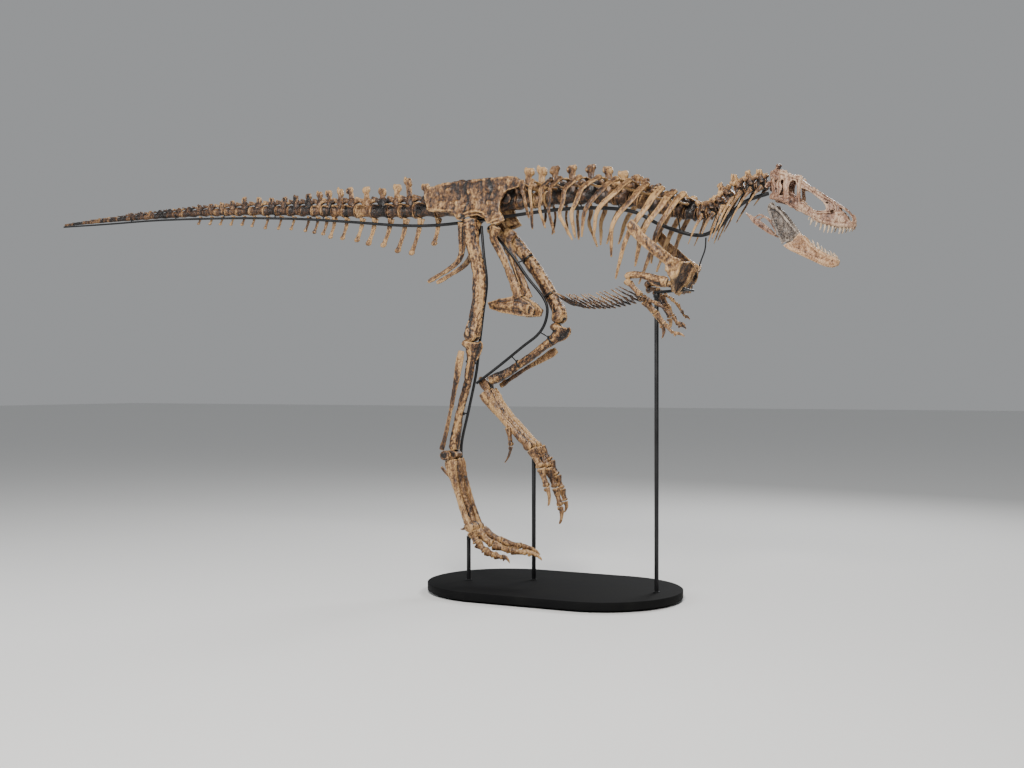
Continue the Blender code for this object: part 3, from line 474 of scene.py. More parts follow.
class Look:
    """One material under construction."""

    def __init__(self, name):
        self.material = bpy.data.materials.new(name)
        self.material.use_nodes = True
        self.nodes = self.material.node_tree.nodes
        self.links = self.material.node_tree.links
        self.shader = self.nodes["Principled BSDF"]

    def add(self, kind, settings, sockets, output=0):
        """A node of KIND: its settings first, then its sockets by number or name."""
        node = self.nodes.new(kind)
        for key, value in settings.items():
            setattr(node, key, value)
        for key, value in sockets.items():
            self.feed(node.inputs[key], value)
        return Value(self, node.outputs[output])

    def feed(self, socket, value):
        if isinstance(value, Value):
            self.links.new(value.socket, socket)
        else:
            socket.default_value = value

    def place(self):
        return self.add("ShaderNodeTexCoord", {}, {}, "Object")

    def attribute(self, name):
        return self.add("ShaderNodeAttribute", {"attribute_name": name}, {}, "Fac")

    def noise(self, scale, detail=3.0, roughness=0.55, distortion=0.0, at=None):
        return self.add("ShaderNodeTexNoise", {}, {"Vector": at or self.place(), "Scale": scale,
                                                   "Detail": detail, "Roughness": roughness,
                                                   "Distortion": distortion})

    def cracks(self, scale, at=None):
        return self.add("ShaderNodeTexVoronoi", {"feature": "DISTANCE_TO_EDGE"},
                        {"Vector": at or self.place(), "Scale": scale})

    def mix(self, share, first, second):
        return self.add("ShaderNodeMix", {"data_type": "RGBA"},
                        {0: share, 6: first, 7: second}, 2)

    def bump(self, height, strength, distance):
        return self.add("ShaderNodeBump", {}, {"Strength": strength, "Distance": distance,
                                               "Height": height})

    def surface(self, **sockets):
        """Feeds the Principled shader: base_color, roughness, metallic, normal and so on."""
        for key, value in sockets.items():
            name = key.replace("_", " ").title().replace("Ior", "IOR")
            self.feed(self.shader.inputs[name], value)
        return self.material


def colour(red, green, blue):
    return (red, green, blue, 1.0)


# %% [markdown]
# ### Fossil bone
#
# The skeleton is mottled: cream, tan, chocolate and nearly black lie side by side on one bone.
# One number, the darkness, adds a piece's tone, clouds and patches, with painted shade in its
# hollows and a painted highlight on its ridges, and four colours follow it. Fine pits and hairline
# cracks go into the bump. The same recipe, with
# other colours, makes the paler skull and the grey rear and peach front of its lower jaws.

# %% Bone materials
def bone_material(name, cream, tan, brown, black, gloss, mottle):
    look = Look(name)
    tone = look.attribute("tone")
    proud = look.attribute("proud")
    drawn = look.add("ShaderNodeMapping", {}, {"Vector": look.place(), "Scale": (1.3, 1.3, 0.5)})
    clouds = look.noise(4.5, 3.0, 0.6, 0.6)
    patches = look.noise(13.0, 5.0, 0.70, 1.0, at=drawn)
    blots = look.noise(46.0, 4.0, 0.7, 0.8, at=drawn)
    grain = look.noise(150.0, 3.0, 0.6)
    hair = 1.0 - look.cracks(30.0, at=drawn).step(0.0, 0.045)
    specks = (patches - 0.5) * 1.6 + (blots - 0.5) * 0.9 + (grain - 0.5) * 0.5
    # the proud term paints shade into the hollows and a highlight onto the ridges
    darkness = (tone + (clouds - 0.5) * 1.2 + specks * mottle - (proud - 0.5) * 1.1
                + hair * blots.step(0.45, 0.6) * 0.35)
    base = look.mix(darkness.step(0.10, 0.36), cream, tan)
    base = look.mix(darkness.step(0.36, 0.62), base, brown)
    base = look.mix(darkness.step(0.60, 0.86), base, black)
    rough = gloss + blots * 0.22 + grain * 0.10
    pits = look.noise(320.0, 2.0, 0.5)
    relief = patches * 0.9 + blots * 0.7 + grain * 0.35 + pits * 0.15 - hair * 0.4
    normal = look.bump(relief, 0.75, 0.005)
    return look.surface(base_color=base, roughness=rough, normal=normal)


# look: name of the material, its cream, tan, brown and black, its gloss and its mottling
FOSSILS = {
    "bone": ("fossil_bone_brown", (0.450, 0.272, 0.118), (0.195, 0.098, 0.039),
             (0.054, 0.024, 0.011), (0.007, 0.0045, 0.0035), 0.24, 1.0),
    "skull": ("fossil_bone_pale", (0.480, 0.325, 0.212), (0.255, 0.135, 0.083),
              (0.085, 0.038, 0.024), (0.013, 0.008, 0.006), 0.26, 0.60),
    "grey": ("fossil_bone_grey", (0.380, 0.325, 0.275), (0.190, 0.150, 0.120),
             (0.070, 0.051, 0.040), (0.010, 0.008, 0.007), 0.26, 0.80),
    "peach": ("fossil_bone_peach", (0.530, 0.330, 0.180), (0.310, 0.163, 0.080),
              (0.100, 0.046, 0.024), (0.014, 0.009, 0.006), 0.26, 0.80),
}
looks = {look: bone_material(name, *(colour(*shade) for shade in shades), gloss, mottle)
         for look, (name, *shades, gloss, mottle) in FOSSILS.items()}
print("fossil materials", sorted(looks))

# %% [markdown]
# ### Teeth, steel, base
#
# Teeth are ivory, streaked and glossy. The armature is satin black steel with a faint brushed
# grain and a rubbed sheen. The base is sprayed black with a fine orange peel and a little dust.

# %% Other materials
def tooth_material():
    look = Look("tooth_enamel")
    along = look.attribute("proud")
    streaks = look.noise(60.0, 3.0, 0.6)
    base = look.mix(streaks.step(0.35, 0.65), colour(0.34, 0.24, 0.15), colour(0.55, 0.43, 0.30))
    # the ridges are paled toward ivory as a painted highlight
    base = look.mix(along.step(0.7, 1.0) * 0.4, base, colour(0.72, 0.62, 0.48))
    return look.surface(base_color=base, roughness=0.25 + streaks * 0.12,
                        normal=look.bump(streaks, 0.2, 0.002))


def steel_material():
    look = Look("black_steel_satin")
    cloud = look.noise(9.0, 4.0, 0.6)
    grain = look.noise(180.0, 2.0, 0.5)
    base = look.mix(cloud.step(0.3, 0.7), colour(0.008, 0.008, 0.009),
                    colour(0.016, 0.016, 0.017))
    return look.surface(base_color=base, metallic=0.35, roughness=0.34 + cloud * 0.16,
                        normal=look.bump(grain, 0.12, 0.001))


def base_material():
    look = Look("base_black_paint")
    dust = look.noise(3.5, 6.0, 0.65, 0.5)
    peel = look.noise(220.0, 2.0, 0.5)
    specks = look.noise(420.0, 1.0, 0.5)
    base = look.mix(dust.step(0.35, 0.8), colour(0.0035, 0.0035, 0.004),
                    colour(0.008, 0.008, 0.0075))
    base = look.mix(specks.step(0.72, 0.80) * 0.5, base, colour(0.05, 0.048, 0.046))
    return look.surface(base_color=base, roughness=0.62 + dust * 0.18, specular_ior_level=0.10,
                        normal=look.bump(peel, 0.10, 0.001))


looks["tooth"] = tooth_material()
looks["steel"] = steel_material()
looks["base"] = base_material()
print("materials", sorted(looks))

# %% [markdown]
# ## Vertebral column
#
# A vertebra is a spool-shaped body with an arch, a tall spine, two side arms and four small joint
# processes. Each is a handful of short tubes fused into one skin. The places of the spines come
# from the solids' own table, as the mount doesn't space them evenly.

# %% Line of the column
COLUMN = mm("-4345 2668, -3900 2680, -3400 2684, -2950 2683, -2470 2667, -2020 2642, -1590 2612, "
            "-1200 2588, -860 2578, -500 2583, 0 2598, 330 2592, 600 2545, 810 2478, 960 2437, "
            "1064 2437, 1127 2468, 1180 2510, 1234 2550, 1300 2572, 1430 2590")
BODY_RADIUS = mm("-4345 7, -3400 22, -2470 36, -1600 50, -1000 58, 600 56, 950 46, 1430 36")
SPINE_RISE = mm("-3200 50, -2735 72, -2635 85, -2525 108, -2271 98, -2100 105, -1846 140, "
                "-1586 172, -1446 176, -1313 162, -1190 190, -1105 228, -963 185, -170 218, "
                "270 202, 390 192, 496 175, 583 162, 643 150, 720 132, 800 105, 1000 75, 1120 70, "
                "1200 125, 1400 105")
BACK_X = (-0.170, -0.079, 0.015, 0.136, 0.270, 0.390, 0.496, 0.583, 0.643, 0.720, 0.800,
          0.875, 0.945)
TAIL_SPINE_X = (-0.963, -1.105, -1.190, -1.313, -1.446, -1.586, -1.666, -1.766, -1.846, -1.940,
                -2.052, -2.156, -2.271, -2.387, -2.525, -2.635, -2.735, -2.84, -2.95, -3.06)
COLUMN_LINE = [(p.x, p.y) for p in smooth_path([(x, z, 0) for x, z in COLUMN], 400)]


def column_frame(x):
    """Centre, forward and upward directions of the column at X."""
    step = 0.01
    low, high = table(COLUMN_LINE, x - step), table(COLUMN_LINE, x + step)
    along = Vector((2 * step, 0, high - low)).normalized()
    return Vector((x, 0, table(COLUMN_LINE, x))), along, crosswise(along)


# %% One vertebra
def spool(centre, along, length, radius, waist):
    """The body of a vertebra: flared rims with a pinched middle."""
    path = [centre + along * (length * share) for share in
            (-0.5, -0.47, -0.38, -0.22, 0.0, 0.22, 0.38, 0.47, 0.5)]
    wide = 2 * radius
    half = ((0, 0.90 * wide, 0.90 * wide), (0.125, wide, wide), (0.25, 0.90 * wide, 0.94 * wide),
            (0.375, (waist + 0.06) * wide, (waist + 0.1) * wide))
    middle = (0.5, waist * wide, (waist + 0.04) * wide)
    mirrored = tuple((1 - share, width, height) for share, width, height in reversed(half))
    return sweep(path, (*half, middle, *mirrored), sides=14)


def vertebra(x, length, spine=None, arms=0.0, arm_rise=1.1, arm_back=0.03, joints=1.0, waist=0.66,
             voxel=None):
    """A vertebra at X. SPINE is (top x, top z, length at foot, length at top, thickness)."""
    centre, along, up = column_frame(x)
    radius = table(BODY_RADIUS, x)
    parts = [spool(centre, along, length, radius, waist)]
    parts.append(sweep([centre + up * (0.6 * radius), centre + up * (1.15 * radius),
                        centre + up * (1.75 * radius)],
                       ((0, 1.25 * radius, 0.62 * length), (0.5, 1.0 * radius, 0.60 * length),
                        (1, 0.55 * radius, 0.50 * length))))
    if spine:
        top_x, top_z, foot, top, thick = spine
        start = centre + up * (1.2 * radius)
        end = Vector((top_x, 0, top_z))
        path = [start, start.lerp(end, 0.25), start.lerp(end, 0.6), start.lerp(end, 0.90), end]
        parts.append(sweep(path, ((0, thick * 1.1, foot * 1.15), (0.25, thick * 0.7, foot * 0.95),
                                  (0.5, thick * 0.6, (foot + top) / 2.5),
                                  (0.75, thick * 1.0, top * 0.98), (1, thick * 1.0, top * 0.72)),
                           sides=10))
        # the top is a knobbly swelling, different on each
        odd = tone_of(f"spine{round(1000 * x)}")
        for way, high in ((1, odd), (-1, 1 - odd)):
            parts.append(knob(end - up * (0.012 + 0.020 * high) + along * (way * 0.36 * top),
                              (0.22 * top, thick * (0.50 + 0.2 * high), 0.020 + 0.010 * odd)))
    for s in (1, -1):
        if joints:
            for way in (1, -1):
                root = centre + up * (1.35 * radius) + along * (way * 0.25 * length)
                tip = (root + along * (way * 0.42 * length)
                       + up * (0.32 * radius * (1.2 - 0.4 * way)) + across(s * 0.30 * radius))
                root = root + across(s * 0.22 * radius)
                thick = 0.42 * radius * joints
                parts.append(sweep([root, root.lerp(tip, 0.5), tip],
                                   ((0, thick, thick * 1.5), (1, thick * 0.75, thick))))
        if arms:
            root = centre + up * (arm_rise * radius) + across(s * 0.3 * radius)
            tip = centre + across(s * arms) + up * ((arm_rise + 0.25) * radius) - along * arm_back
            middle = root.lerp(tip, 0.5) + up * 0.004
            parts.append(sweep([root, middle, tip],
                               ((0, 0.50 * length, 0.30 * radius + 0.008),
                                (0.5, 0.36 * length, 0.012), (1, 0.42 * length, 0.014)),
                               side=(1, 0, 0)))
    voxel = voxel or min(0.0052, max(0.003, radius * 0.095))
    return pitted(fuse(parts, voxel, 3), 0.0014, 0.020)


# %% Tail: twenty vertebrae with spines, then plain ones that shrink to the tip
def rise_at(x):
    return table(SPINE_RISE, x)


def spine_tone(place):
    """Dark bodies, some darker than others, growing paler up to the spine tops."""
    line = np.array(COLUMN_LINE)
    height = place[:, 2] - np.interp(place[:, 0], line[:, 0], line[:, 1])
    shift = 0.34 * (tone_of(f"body{round(100 * float(place[:, 0].mean()))}") - 0.5)
    return np.interp(height, (0.03, 0.10, 0.17), (0.64, 0.50, 0.20)) + shift


def midpoints(xs):
    return [(a + b) / 2 for a, b in zip(xs, xs[1:])]


TAIL_ROOT_X, TAIL_TIP_X, PLAIN_LENGTH = -0.864, -4.345, 0.095
joints = [TAIL_ROOT_X] + midpoints(TAIL_SPINE_X)
for number, (front, back) in enumerate(zip(joints, joints[1:]), 1):
    x = TAIL_SPINE_X[number - 1]
    middle = (front + back) / 2
    foot = min(0.052, 0.50 * (front - back))
    top = table(mm("-2600 34, -2000 44, -1200 60"), x)
    spine = (x, table(COLUMN_LINE, x) + rise_at(x), foot, top, 0.026)
    arms = max(0.0, 0.125 - 0.009 * number)
    piece = vertebra(middle, front - back - 0.004, spine, arms=arms if arms > 0.035 else 0,
                     arm_rise=0.45)
    done(piece, f"tail_vertebra_{number:02d}", "bone",
         {1: ["tail_1"], 9: ["tail_2"]}.get(number, ()), spine_tone)

rest = round((joints[-1] - TAIL_TIP_X) / PLAIN_LENGTH)
rear = list(np.linspace(joints[-1], TAIL_TIP_X, rest + 1))
for number, (front, back) in enumerate(zip(rear, rear[1:]), 20):
    middle = float(front + back) / 2
    radius = table(BODY_RADIUS, middle)
    rise = max(rise_at(middle), 1.9 * radius)
    spine = None
    if middle > -3.7:
        spine = (middle - 0.02, table(COLUMN_LINE, middle) + 0.80 * rise, 0.05, 0.035,
                 0.4 * radius)
    piece = vertebra(middle, float(front - back) - 0.003, spine, joints=0.9, waist=0.78,
                     voxel=0.0030 if middle > -3.6 else 0.0022)
    done(piece, f"tail_vertebra_{number:02d}", "bone",
         {20: ["tail_3"], 27: ["tail_4"]}.get(number, ()), spine_tone)
print("tail vertebrae", len(made_pieces))

# %% [markdown]
# Under each joint of the tail hangs a chevron, a Y-shaped bone. Its two prongs meet the tail and
# its blade slants back to a thick rounded end. Each is fused in place, since length and slant
# change from one to the next.

# %% Chevrons
CHEVRON_X = (-0.902, -1.083, -1.195, -1.313, -1.437, -1.535, -1.657, -1.761, -1.824, -1.901,
             -1.979, -2.106, -2.221, -2.341, -2.464, -2.556, -2.66, -2.76, -2.86, -2.97)
CHEVRON_TIP_Z = mm("-3200 2640, -2970 2600, -2556 2570, -2341 2532, -2106 2512, -1979 2492, "
                   "-1824 2460, -1761 2433, -1657 2419, -1535 2397, -1437 2369, -1313 2351, "
                   "-1195 2306, -1083 2285, -902 2342")
CHEVRON_LEAN = mm("-3000 20, -2100 30, -1660 40, -1440 55, -1083 75, -902 30")


def chevron(tip_x):
    lean = table(CHEVRON_LEAN, tip_x)
    tip = Vector((tip_x, 0.006, table(CHEVRON_TIP_Z, tip_x)))
    radius = table(BODY_RADIUS, tip_x)
    top = Vector((tip_x + lean + 0.01, 0, table(COLUMN_LINE, tip_x + lean) - 0.92 * radius))
    size = min(1.0, max(0.5, (top - tip).length / 0.19))
    fork = top.lerp(tip, 0.26)
    if size < 0.8 and (top - tip).length < 0.09:
        fork = top.lerp(tip, 0.2)
    parts = [sweep([fork, fork.lerp(tip, 0.5), fork.lerp(tip, 0.85), tip],
                   ((0, 0.020, 0.042 * size), (0.4, 0.015, 0.030 * size),
                    (0.8, 0.020, 0.043 * size), (1, 0.018, 0.036 * size)))]
    for s in (1, -1):
        prong = top + across(s * 0.42 * radius)
        parts.append(sweep([fork, fork.lerp(prong, 0.5) + across(s * 0.004), prong],
                           ((0, 0.016, 0.030 * size), (1, 0.018, 0.032 * size))))
    parts.append(knob(tip + Vector((0.003, 0, 0.010 * size)),
                      (0.026 * size, 0.014, 0.021 * size)))
    bow = bent(fuse(parts, 0.0034, 2), lambda p: p + Vector(
        (0.010 * size * math.sin(math.pi * (top.z - p.z) / (top.z - tip.z)), 0, 0)))
    return pitted(bow, 0.0014, 0.016)


for number, x in enumerate(CHEVRON_X, 1):
    done(chevron(x), f"chevron_{number:02d}", "bone",
         tone=0.08 + 0.2 * tone_of(f"chevron{number}"))
print("chevrons", len(CHEVRON_X))

# %% [markdown]
# The sacrum is five vertebrae grown together between the hip blades, with stout arms to both of
# them and a low continuous crest of spines.

# %% Sacrum
SACRUM_ENDS, SACRUM_COUNT = (-0.857, -0.252), 5
cuts = np.linspace(*SACRUM_ENDS, SACRUM_COUNT + 1)
parts = []
for a, b in zip(cuts, cuts[1:]):
    centre, along, up = column_frame(float(a + b) / 2)
    parts.append(spool(centre, along, float(b - a) + 0.006, 0.056, 0.78))
    parts.append(sweep([centre + up * 0.05, centre + up * 0.10, centre + up * 0.150],
                       "0 50 90, 50 22 85, 100 26 80"))
    parts.append(sweep([centre + up * 0.02 + across(y) for y in (-0.074, 0, 0.074)],
                       "0 85 75, 50 50 50, 100 85 75", side=(1, 0, 0)))
done(pitted(fuse(parts, 0.0055, 3), 0.0016, 0.02), "sacrum_fused", "bone", ["sacrum"])
print("sacrum of", SACRUM_COUNT)

# %% [markdown]
# Vertebrae of the back have broad thick-topped spines and long arms that reach out to the ribs.

# %% Back
BACK_ENDS = (-0.246, 0.982)
joints = [BACK_ENDS[0]] + midpoints(BACK_X) + [BACK_ENDS[1]]
for number, (back, front) in enumerate(zip(joints, joints[1:]), 1):
    x = BACK_X[number - 1]
    middle = (front + back) / 2
    length = front - back - 0.004
    broad = min(0.066, 0.80 * (front - back))
    spine = (x, table(COLUMN_LINE, x) + rise_at(x), broad * 0.85, broad, 0.034)
    piece = vertebra(middle, length, spine, arms=0.100, arm_rise=1.65, arm_back=0.012)
    done(piece, f"back_vertebra_{number:02d}", "bone", tone=spine_tone)
print("back vertebrae", len(BACK_X))

# %% [markdown]
# ## Neck
#
# Seven short vertebrae rise in an S to the head. Their spines are low, and long thin ribs sweep
# down and back from both sides.

# %% Neck
NECK_RIB_TIPS = mm("940 2240, 1030 2300, 1068 2246, 1092 2263, 1130 2314, 1210 2371, 1320 2470")


def column_stations(x_from, x_to, count):
    """COUNT points evenly spaced along the column between two x."""
    xs = np.linspace(x_from, x_to, 200)
    run = run_along([Vector((x, 0, table(COLUMN_LINE, x))) for x in xs])
    return [float(np.interp(d, run, xs)) for d in np.linspace(0, run[-1], count)]


stations = column_stations(0.987, 1.425, len(NECK_RIB_TIPS) + 1)
for number, (a, b, tip) in enumerate(zip(stations, stations[1:], NECK_RIB_TIPS), 1):
    middle = (a + b) / 2
    centre, along, up = column_frame(middle)
    length = (column_frame(b)[0] - column_frame(a)[0]).length
    crown = centre + up * (rise_at(middle) * 0.95) - along * 0.01

    def neck_tone(place, centre=centre, up=up):
        rise = (place - np.array(centre)) @ np.array(up)
        return np.interp(rise, (0.015, 0.045, 0.075), (0.74, 0.56, 0.22))

    piece = vertebra(middle, length - 0.004, (crown.x, crown.z, 0.046, 0.034, 0.024), arms=0.054,
                     arm_rise=0.2, arm_back=-0.012, joints=1.5, voxel=0.0034)
    done(piece, f"neck_vertebra_{number}", "bone", ["neck"] if number == 1 else (), neck_tone)
    for s, side in SIDES:
        root = centre + across(s * 0.046) - up * 0.012
        reach = Vector((tip[0], s * 0.060, tip[1]))
        bow = root.lerp(reach, 0.45) + across(s * 0.014)
        rib = sweep([root + along * 0.012, root - up * 0.008, bow, reach],
                    "0 10 22, 20 20 42, 45 12 20, 80 9 12, 100 6 7", sides=8, count=9)
        done(pitted(rounded(rib), 0.0012, 0.014), f"neck_rib_{number}_{side}", "bone",
             tone=0.24)
print("neck done", len(made_pieces))

# %% [markdown]
# ## Ribs
#
# Each rib has two heads: one meets the vertebra's body, the other the tip of its arm. From there
# it swings out and down in one curve. Its section is a flat oval, broadest below the shoulder.

# %% Ribs of the trunk
RIBS = mm("-170 -14 -45 -57 240 160, -98 -10 -33 -22 320 190, 35 40 34 8 322 215, "
          "100 32 25 0 361 235, 232 60 78 2 412 245, 365 77 126 114 391 250, "
          "482 56 155 188 369 250, 572 46 164 195 356 250, 684 52 172 190 455 250, "
          "782 60 186 262 560 245, 862 52 160 216 460 235, 925 52 142 182 425 215")
TUBERCLE_Y = 0.105


def rib(head_x, shoulder, bend, tip, drop, reach, s, stout):
    """A rib that leaves the column at HEAD_X, falls back by SHOULDER, BEND and TIP on its way
    down, drops by DROP in all and stands out by REACH at its widest."""
    top = table(COLUMN_LINE, head_x) + 0.105
    tubercle = Vector((head_x, s * TUBERCLE_Y, top + 0.002))
    swing = reach - TUBERCLE_Y
    path = [tubercle + Vector((0.004, -s * 0.012, 0.004)),
            tubercle + Vector((0, s * 0.012, -0.004)),
            (head_x - shoulder * 0.55, s * (TUBERCLE_Y + 0.45 * swing), top - 0.10 * drop),
            (head_x - shoulder, s * (TUBERCLE_Y + 0.75 * swing), top - 0.22 * drop),
            (head_x - bend * 0.75, s * (reach - 0.006), top - 0.42 * drop),
            (head_x - bend, s * reach, top - 0.60 * drop),
            (head_x - (bend + tip) / 2, s * (reach - 0.012), top - 0.80 * drop),
            (head_x - tip, s * (reach - 0.035), top - drop)]
    shaft = sweep(path, ((0, 0.030 * stout, 0.020), (0.1, 0.044 * stout, 0.025),
                         (0.28, 0.046 * stout, 0.017), (0.45, 0.035 * stout, 0.015),
                         (0.7, 0.027 * stout, 0.014), (0.92, 0.023, 0.013), (1, 0.014, 0.009)),
                  side=(1, 0, 0), count=20)
    head = Vector((head_x + 0.006, s * 0.040, top - 0.052))
    neck = sweep([head, head.lerp(Vector(path[2]), 0.5) + Vector((0, 0, -0.006)), path[2]],
                 "0 34 24, 35 24 16, 100 34 16", side=(1, 0, 0),
                 count=5)
    boss = knob(tubercle, (0.024 * stout, 0.017, 0.020))
    return pitted(fuse([shaft, neck, boss], 0.0038, 3), 0.0013, 0.018)


# the rearmost ribs are slim and dark, those of the chest stout
STOUT = (0.80, 0.72, 0.75, 0.82, 1.08, 1.16, 1.22, 1.22, 1.22, 1.25, 1.25, 1.15)
RIB_TONE = (0.34, 0.40, 0.44, 0.40, 0.28, 0.26, 0.32, 0.26, 0.28, 0.22, 0.28, 0.22)
for number, (row, stout, dark) in enumerate(zip(RIBS, STOUT, RIB_TONE), 1):
    for s, side in SIDES:
        done(rib(*row, s, stout), f"rib_{number:02d}_{side}", "bone",
             [f"rib_cage_{side}"] if number == 1 else (),
             lambda place, dark=dark: dark + 0.16 * np.sin(9.0 * place[:, 2] + 30.0 * dark))
print("ribs", 2 * len(RIBS))

# %% [markdown]
# Belly ribs hang in the wall of the belly: rows of thin rods in a shallow V, each row made of a
# stout inner rod and a thin outer one that overlap.

# %% Belly ribs
KEEL = mm("130 1895, 250 1866, 420 1864, 550 1886, 655 1915")
BELLY_ROWS = 15
rods = []
for k in range(BELLY_ROWS):
    share = k / (BELLY_ROWS - 1)
    x = 0.155 + 0.485 * share
    z = table(KEEL, x)
    for s in (1, -1):
        start = Vector((x + 0.010, -s * 0.010, z + 0.002 * (k % 2)))
        middle = Vector((x - 0.052, s * 0.078, z + 0.040))
        end = Vector((x - 0.108 - 0.01 * (k % 3), s * (0.158 - 0.01 * (k % 2)),
                      z + 0.098 - 0.012 * share))
        rods.append(sweep([start, start.lerp(middle, 0.5) + Vector((0, 0, -0.004)), middle],
                          "0 12 14, 50 17 19, 100 10 11", count=5, sides=6))
        rods.append(sweep([middle + Vector((0.026, -s * 0.028, -0.008)), middle, end],
                          "0 8 8, 40 15 16, 100 7 7", count=6, sides=6))
done(pitted(rounded(joined(rods)), 0.0012, 0.016), "belly_ribs", "bone", ["gastralia"], 0.52)

# %% [markdown]
# ## Hips
#
# The hip blade is a broad plate, thick round the socket. It is drawn flat from its outline, gets
# its socket rim, its ridges and the two stalks below as extra lumps, and is bent outwards last.

# %% Hip blades
ILIUM_OUTLINE = mm("-178 2712, -216 2740, -275 2755, -400 2752, -585 2746, -777 2738, -870 2717, "
                   "-915 2665, -900 2600, -870 2556, -690 2538, -640 2482, -605 2474, -575 2496, "
                   "-500 2503, -438 2480, -420 2440, -350 2432, -290 2455, -330 2530, -325 2610, "
                   "-287 2655, -200 2672")


def flat_bar(points, sizes, y=0.0, sides=8, count=None):
    """A bar in the side view: POINTS are (x, z), which may be typed as text."""
    points = mm(points) if isinstance(points, str) else points
    return sweep([(x, y, z) for x, z in points], sizes, sides=sides,
                 count=count or max(5, 2 * len(points)))


plate = blade(ILIUM_OUTLINE, 0.022)
rims = [
    flat_bar("-190 2705, -280 2740, -500 2738, -770 2726, -860 2705",
             "0 20 16, 30 34 24, 80 34 26, 100 24 20"),
    flat_bar("-655 2510, -585 2520, -515 2532, -445 2512, -410 2470",
             "0 40 28, 50 52 26, 100 44 34"),
    flat_bar("-620 2530, -622 2495", "0 40 70, 100 52 75", count=3),
    flat_bar("-375 2520, -358 2455", "0 36 80, 100 56 110", count=3),
    flat_bar("-505 2540, -495 2635, -480 2735",
             "0 44 60, 50 30 34, 100 28 50"),
    flat_bar("-890 2575, -780 2556, -680 2545",
             "0 28 20, 50 38 22, 100 34 26"),
    flat_bar("-340 2600, -270 2690, -200 2705",
             "0 26 30, 100 26 20"),
]
scabs = [knob((x, 0, z), (0.035, 0.020, 0.028)) for x, z in
         mm("-830 2660, -720 2690, -660 2600, -560 2670, -590 2580, -500 2600, -430 2670, "
            "-410 2580, -350 2680, -780 2600, -270 2710, -620 2730")]
right_ilium = pitted(fuse([plate] + rims + scabs, 0.0055, 3), 0.0050, 0.030)
right_ilium = bent(right_ilium, lambda p: Vector((
    p.x, p.y - (0.098 + 0.16 * max(0.0, 2.62 - p.z) + 0.03 * max(0.0, 2.75 - p.z)), p.z)))
left_ilium = mirror_copy(right_ilium)


def ilium_tone(place):
    """A brown upper rim, paler upright grain below it, and two dark cracks down the blade."""
    x, z = place[:, 0], place[:, 2]
    rim = np.interp(z, (2.62, 2.70), (0.0, 0.12))
    grain = 0.07 * np.sin(95.0 * x + 3.0 * np.sin(18.0 * z)) + 0.05 * np.sin(210.0 * x + 9.0 * z)
    crack = np.exp(-((x + 0.582 + 0.014 * np.sin(38.0 * z)) / 0.008) ** 2)
    short = np.exp(-((x + 0.404 + 0.010 * np.sin(51.0 * z)) / 0.007) ** 2) * (z > 2.60)
    return 0.34 + rim + grain + 0.55 * np.maximum(crack, short)


done(right_ilium, "ilium_blade_right", "bone", ["ilium_right"], ilium_tone)
done(left_ilium, "ilium_blade_left", "bone", ["ilium_left"], ilium_tone)

# %% [markdown]
# The pubes run down and forward to a boot on which the animal could rest, the ischia down and
# back. Each is a sweep with a plate or a flange fused to it.

# %% Pubes and ischia
PUBIS_PATH = "-358 118 2424, -388 100 2350, -352 82 2267, -308 75 2173, -264 73 2072, -215 70 1950"
BOOT_OUTLINE = mm("-446 1925, -360 1946, -223 1966, -143 1918, -100 1871, -114 1828, -201 1826, "
                  "-349 1856, -431 1882")
ISCHIUM_PATH = ("-612 112 2464, -630 90 2370, -640 70 2275, -678 62 2208, -748 60 2160, "
                "-826 60 2120, -910 60 2080")


def on_side(text, s):
    """The points typed in TEXT on the animal's left side, or for S = -1 on its right side."""
    return [Vector((x, y * s, z)) for x, y, z in mm(text)]


for s, side in SIDES:
    broad = 1.0 if s < 0 else 1.3
    path = on_side(PUBIS_PATH, s)
    stem = sweep(path, ((0, 0.040, 0.092), (0.12, 0.036, 0.072 * broad),
                        (0.3, 0.032, 0.054 * broad), (0.6, 0.030, 0.048 * broad),
                        (0.85, 0.032, 0.056 * broad), (1, 0.034, 0.080)), count=16)
    boot = blade(BOOT_OUTLINE, 0.036, y=s * 0.060)
    cheek = flat_bar("-410 1905, -280 1900, -200 1885, -140 1870",
                     "0 46 40, 50 66 85, 80 50 66, 100 60 80", y=s * 0.066)
    apron = sweep(on_side("-345 62 2250, -255 45 2040", s), "0 20 12, 100 40 14", count=4)
    done(pitted(fuse([stem, boot, cheek, apron], 0.0048, 3), 0.0034, 0.026),
         f"pubis_bone_{side}", "bone", [f"pubis_{side}"],
         streaked(path, 0.40, 0.20))
    path = on_side(ISCHIUM_PATH, s)
    stem = sweep(path, "0 34 80, 15 30 64, 40 28 46, 65 24 36, 85 22 30, 96 22 38, 100 18 28",
                 count=18)
    flange = blade(mm("-622 2400, -610 2330, -622 2255, -660 2235, -648 2300, -640 2380"), 0.010,
                   y=s * 0.078)
    done(pitted(fuse([stem, flange], 0.0042, 3), 0.0024, 0.022),
         f"ischium_bone_{side}", "bone", [f"ischium_{side}"],
         streaked(path, 0.36, 0.20))
print("hips done")

# %% [markdown]
# ## Hind legs
#
# The right leg stands under the hip and has just left the ground; the left one is folded forward.
# Both are built by the same functions from their own lines in the side view.

